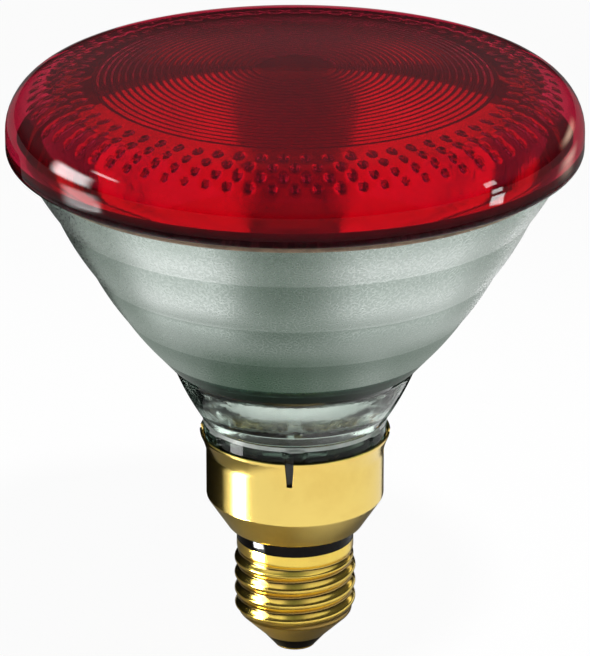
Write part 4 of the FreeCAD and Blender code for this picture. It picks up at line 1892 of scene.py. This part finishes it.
@dataclass
class UnderCard:
    """Level glowing card under the bowl that only reflections show: a painted reflection of the
    floor, darkest in front where it stands for the lamp's shadow.
    """

    name: str = "under_card_painted_floor"
    level: float = 0.067
    inner: float = 0.0265
    outer: float = 0.085
    half_angle: float = 105.0
    dark: Colour = (0.0, 0.045, 0.01)
    points: int = 49
    shades: tuple[Shade, ...] = (
        Shade(0.0355, (
            (-60, 0.28), (-48, 0.22), (-34, 0.12), (-18, 0.08),
            (0, 0.11), (13, 0.16), (38, 0.33), (52, 0.28),
        )),
        Shade(0.0435, (
            (-75, 0.31), (-60, 0.40), (-40, 0.36), (-5, 0.30),
            (10, 0.33), (30, 0.42), (65, 0.55), (80, 0.48),
        )),
        Shade(0.0510, (
            (-80, 0.3), (-58, 0.98), (-32, 0.98), (-16, 0.27), (-6, 0.19),
            (4, 0.25), (30, 0.85), (65, 0.85), (85, 0.5),
        )),
    )

    def build(self) -> None:
        """Build the card as a sector about the lamp's front."""
        angles = np.radians(np.linspace(-self.half_angle, self.half_angle, self.points))
        way = np.stack([np.sin(angles), -np.cos(angles), np.zeros(self.points)], axis=1)
        lift = np.array([0.0, 0.0, self.level])
        material, graph, shader = new_material(self.name)
        x, y, _ = graph.axes(graph.place())
        angle = graph.calc("DEGREES", graph.calc("ARCTAN2", x, graph.times(y, -1.0)))
        radius = graph.length(x, y)
        # Painted reflection: brightness by angle and radius stands in for the lamp's shadow on the
        # floor and the lit floor beside it.
        level = self.shades[0].level(graph, angle)
        for before, after in zip(self.shades, self.shades[1:]):
            share = graph.ramp(radius, before.radius, after.radius)
            change = graph.calc("SUBTRACT", after.level(graph, angle), level)
            level = graph.calc("MULTIPLY_ADD", share, change, level)
        make_glow(graph, shader, graph.blend(level, self.dark, WHITE), 1.0)
        rows = (way * self.inner + lift, way * self.outer + lift)
        set_card(self.name, flat_mesh(self.name, rows, material))


MIDDLE: Place = (0.0, 0.0, 0.12)
LEFT_CROWN: Place = (-0.045, -0.04, 0.122)
LEFT_RIM: Place = (-0.045, -0.04, 0.117)
RIGHT_RIM: Place = (0.056, -0.022, 0.122)
LIGHTS: tuple[PoolLight | Softbox | SoftCard | Flag | UnderCard, ...] = (
    PoolLight("floor_key", (0.2, -0.30, 1.05), (0.0, 0.0, 0.0), 0.07, 3.4, 30.0, 0.7),
    Softbox("left_softbox", (-0.5, 0.0, 0.5), MIDDLE, (1.0, 0.6), 1.8, Reach.THROUGH),
    Softbox("right_softbox", (0.5, 0.0, 0.5), MIDDLE, (1.0, 0.6), 1.65, Reach.THROUGH),
    Softbox("front_softbox", (0.0, -0.575, 0.675), MIDDLE, (0.75, 0.11), 0.5, Reach.THROUGH),
    SoftCard("left_head", (-0.233, -0.018, 0.144), LEFT_CROWN, (0.10, 0.082), 12.0, 0.55),
    SoftCard(
        "left_tail", (-0.0905, -0.05, 0.1505), (-0.038, -0.045, 0.125), (0.024, 0.0065), 8.0, 0.6,
    ),
    SoftCard("left_rim", (-0.1, -0.04, 0.101), LEFT_RIM, (0.036, 0.02), 4.0, 0.6),
    SoftCard("left_rim_foot", (-0.1, -0.044, 0.0965), LEFT_RIM, (0.024, 0.007), 9.0, 0.5),
    Softbox(
        "left_low_card", (-0.045, -0.0223, 0.025), (0.0, -0.0103, 0.025), (0.0145, 0.048), 4.0,
        spread=90.0,
    ),
    Softbox(
        "ring_strip", (-0.045, -0.0185, 0.0112), (-0.008, -0.01, 0.0275), (0.019, 0.0055), 8.0,
        spread=40.0,
    ),
    SoftCard(
        "right_pane_high", (0.097, -0.054, 0.135), (0.039, -0.0454, 0.1231), (0.010, 0.011),
        7.5, 0.3,
    ),
    SoftCard(
        "right_pane_mid", (0.0995, -0.0512, 0.1175), (0.0404, -0.0447, 0.1215), (0.009, 0.009),
        8.0, 0.3,
    ),
    SoftCard(
        "right_pane_low", (0.097, -0.0495, 0.104), (0.0401, -0.0452, 0.1196), (0.011, 0.011),
        9.0, 0.25,
    ),
    SoftCard(
        "right_board", (0.226, 0.161, 0.133), RIGHT_RIM, (0.12, 0.055),
        3.2, 1.0, (1.0, 0.68, 0.5),
    ),
    SoftCard(
        "right_low_board", (0.224, 0.149, 0.053), RIGHT_RIM, (0.11, 0.07),
        1.8, 1.0, (1.0, 0.92, 0.75),
    ),
    Flag("left_flag", 0.078, 92.0, 167.0, 0.112),
    Flag("right_flag", 0.078, 199.0, 219.0, 0.112),
    Flag("back_flag", 0.16, 155.0, 205.0, 0.4, Reach.THROUGH),
    UnderCard(),
)


@dataclass
class Studio:
    """Pale floor, soft lights, surroundings and camera."""

    camera_place: Place = (0.0, -0.9272, 0.4406)
    camera_aim: Place = (0.0, 0.0, 0.0743)
    focal_length: float = 257.8
    sensor_width: float = 36.0
    clip_start: float = 0.05
    floor_size: float = 6.0
    floor_colour: Colour = (0.80, 0.80, 0.80)
    floor_roughness: float = 0.9
    floor_seen: float = 0.96
    floor_mirrored: float = 0.03
    floor_through: float = 0.6
    surround: float = 0.12
    surround_mirrored: Point = (0.015, 0.085)
    surround_rise: Point = (0.0, 0.25)
    bounces: int = 20
    glass_bounces: int = 16
    gloss_bounces: int = 10

    def build_camera(self) -> None:
        """Build the camera at the photograph's angle."""
        data = bpy.data.cameras.new("camera")
        data.sensor_width = self.sensor_width
        data.lens = self.focal_length
        data.clip_start = self.clip_start
        camera = link(bpy.data.objects.new("camera", data))
        point_at(camera, self.camera_place, self.camera_aim)
        bpy.context.scene.camera = camera

    def build_floor(self) -> None:
        """Build the floor, white to the eye but still shadowed."""
        material, graph, shader = new_material("pale_floor")
        graph.dress(shader, Base_Color=rgba(self.floor_colour), Roughness=self.floor_roughness)
        path = graph.node("ShaderNodeLightPath").outputs
        share = graph.times(path["Is Camera Ray"], self.floor_seen)
        share = graph.calc("MULTIPLY_ADD", path["Is Glossy Ray"], self.floor_mirrored, share)
        share = graph.calc("MULTIPLY_ADD", path["Is Transmission Ray"], self.floor_through, share)
        graph.show_mix(share, shader, graph.node("ShaderNodeEmission", {"Strength": 1.0}))
        half = self.floor_size / 2
        mesh = flat_mesh("floor", rectangle(half, half), material)
        floor = link(bpy.data.objects.new("floor", mesh))

    def build_world(self) -> None:
        """Make plain surroundings, white to the eye."""
        world = bpy.data.worlds.new("studio")
        world.use_nodes = True
        graph = Graph(world.node_tree)
        path = graph.node("ShaderNodeLightPath").outputs
        back = next(node for node in world.node_tree.nodes if node.type == "BACKGROUND")
        seen = graph.ramp(path["Is Camera Ray"], 0, 1, self.surround, 1.0)
        _, _, up = graph.axes(graph.node("ShaderNodeTexCoord").outputs["Generated"])
        low, high = (level - self.surround for level in self.surround_mirrored)
        mirrored = graph.ramp(up, *self.surround_rise, low, high)
        level = graph.calc("MULTIPLY_ADD", path["Is Glossy Ray"], mirrored, seen)
        graph.dress(back, Strength=level, Color=rgba(WHITE))
        bpy.context.scene.world = world

    def build(self) -> None:
        """Build the studio and set how light is followed through glass."""
        self.build_camera()
        self.build_floor()
        self.build_world()
        for light in LIGHTS:
            light.build()
        scene = bpy.context.scene
        scene.view_settings.view_transform = "Standard"
        scene.cycles.max_bounces = self.bounces
        scene.cycles.transmission_bounces = self.glass_bounces
        scene.cycles.glossy_bounces = self.gloss_bounces


def main() -> None:
    """Build the studio and every piece of the lamp."""
    logging.basicConfig(level=logging.INFO, format="%(name)s: %(message)s")
    Studio().build()
    effects = Effects()
    Lens().build(effects)
    RimSeal().build(effects)
    Reflector().build(effects)
    Skirt().build(effects)
    cap = ScrewCap()
    cap.build_shell(effects)
    cap.build_insulators(effects)
    cap.build_contact(effects)
    mount = FilamentMount()
    mount.build_coil(effects)
    mount.dress(effects)


if __name__ == "__main__":
    main()
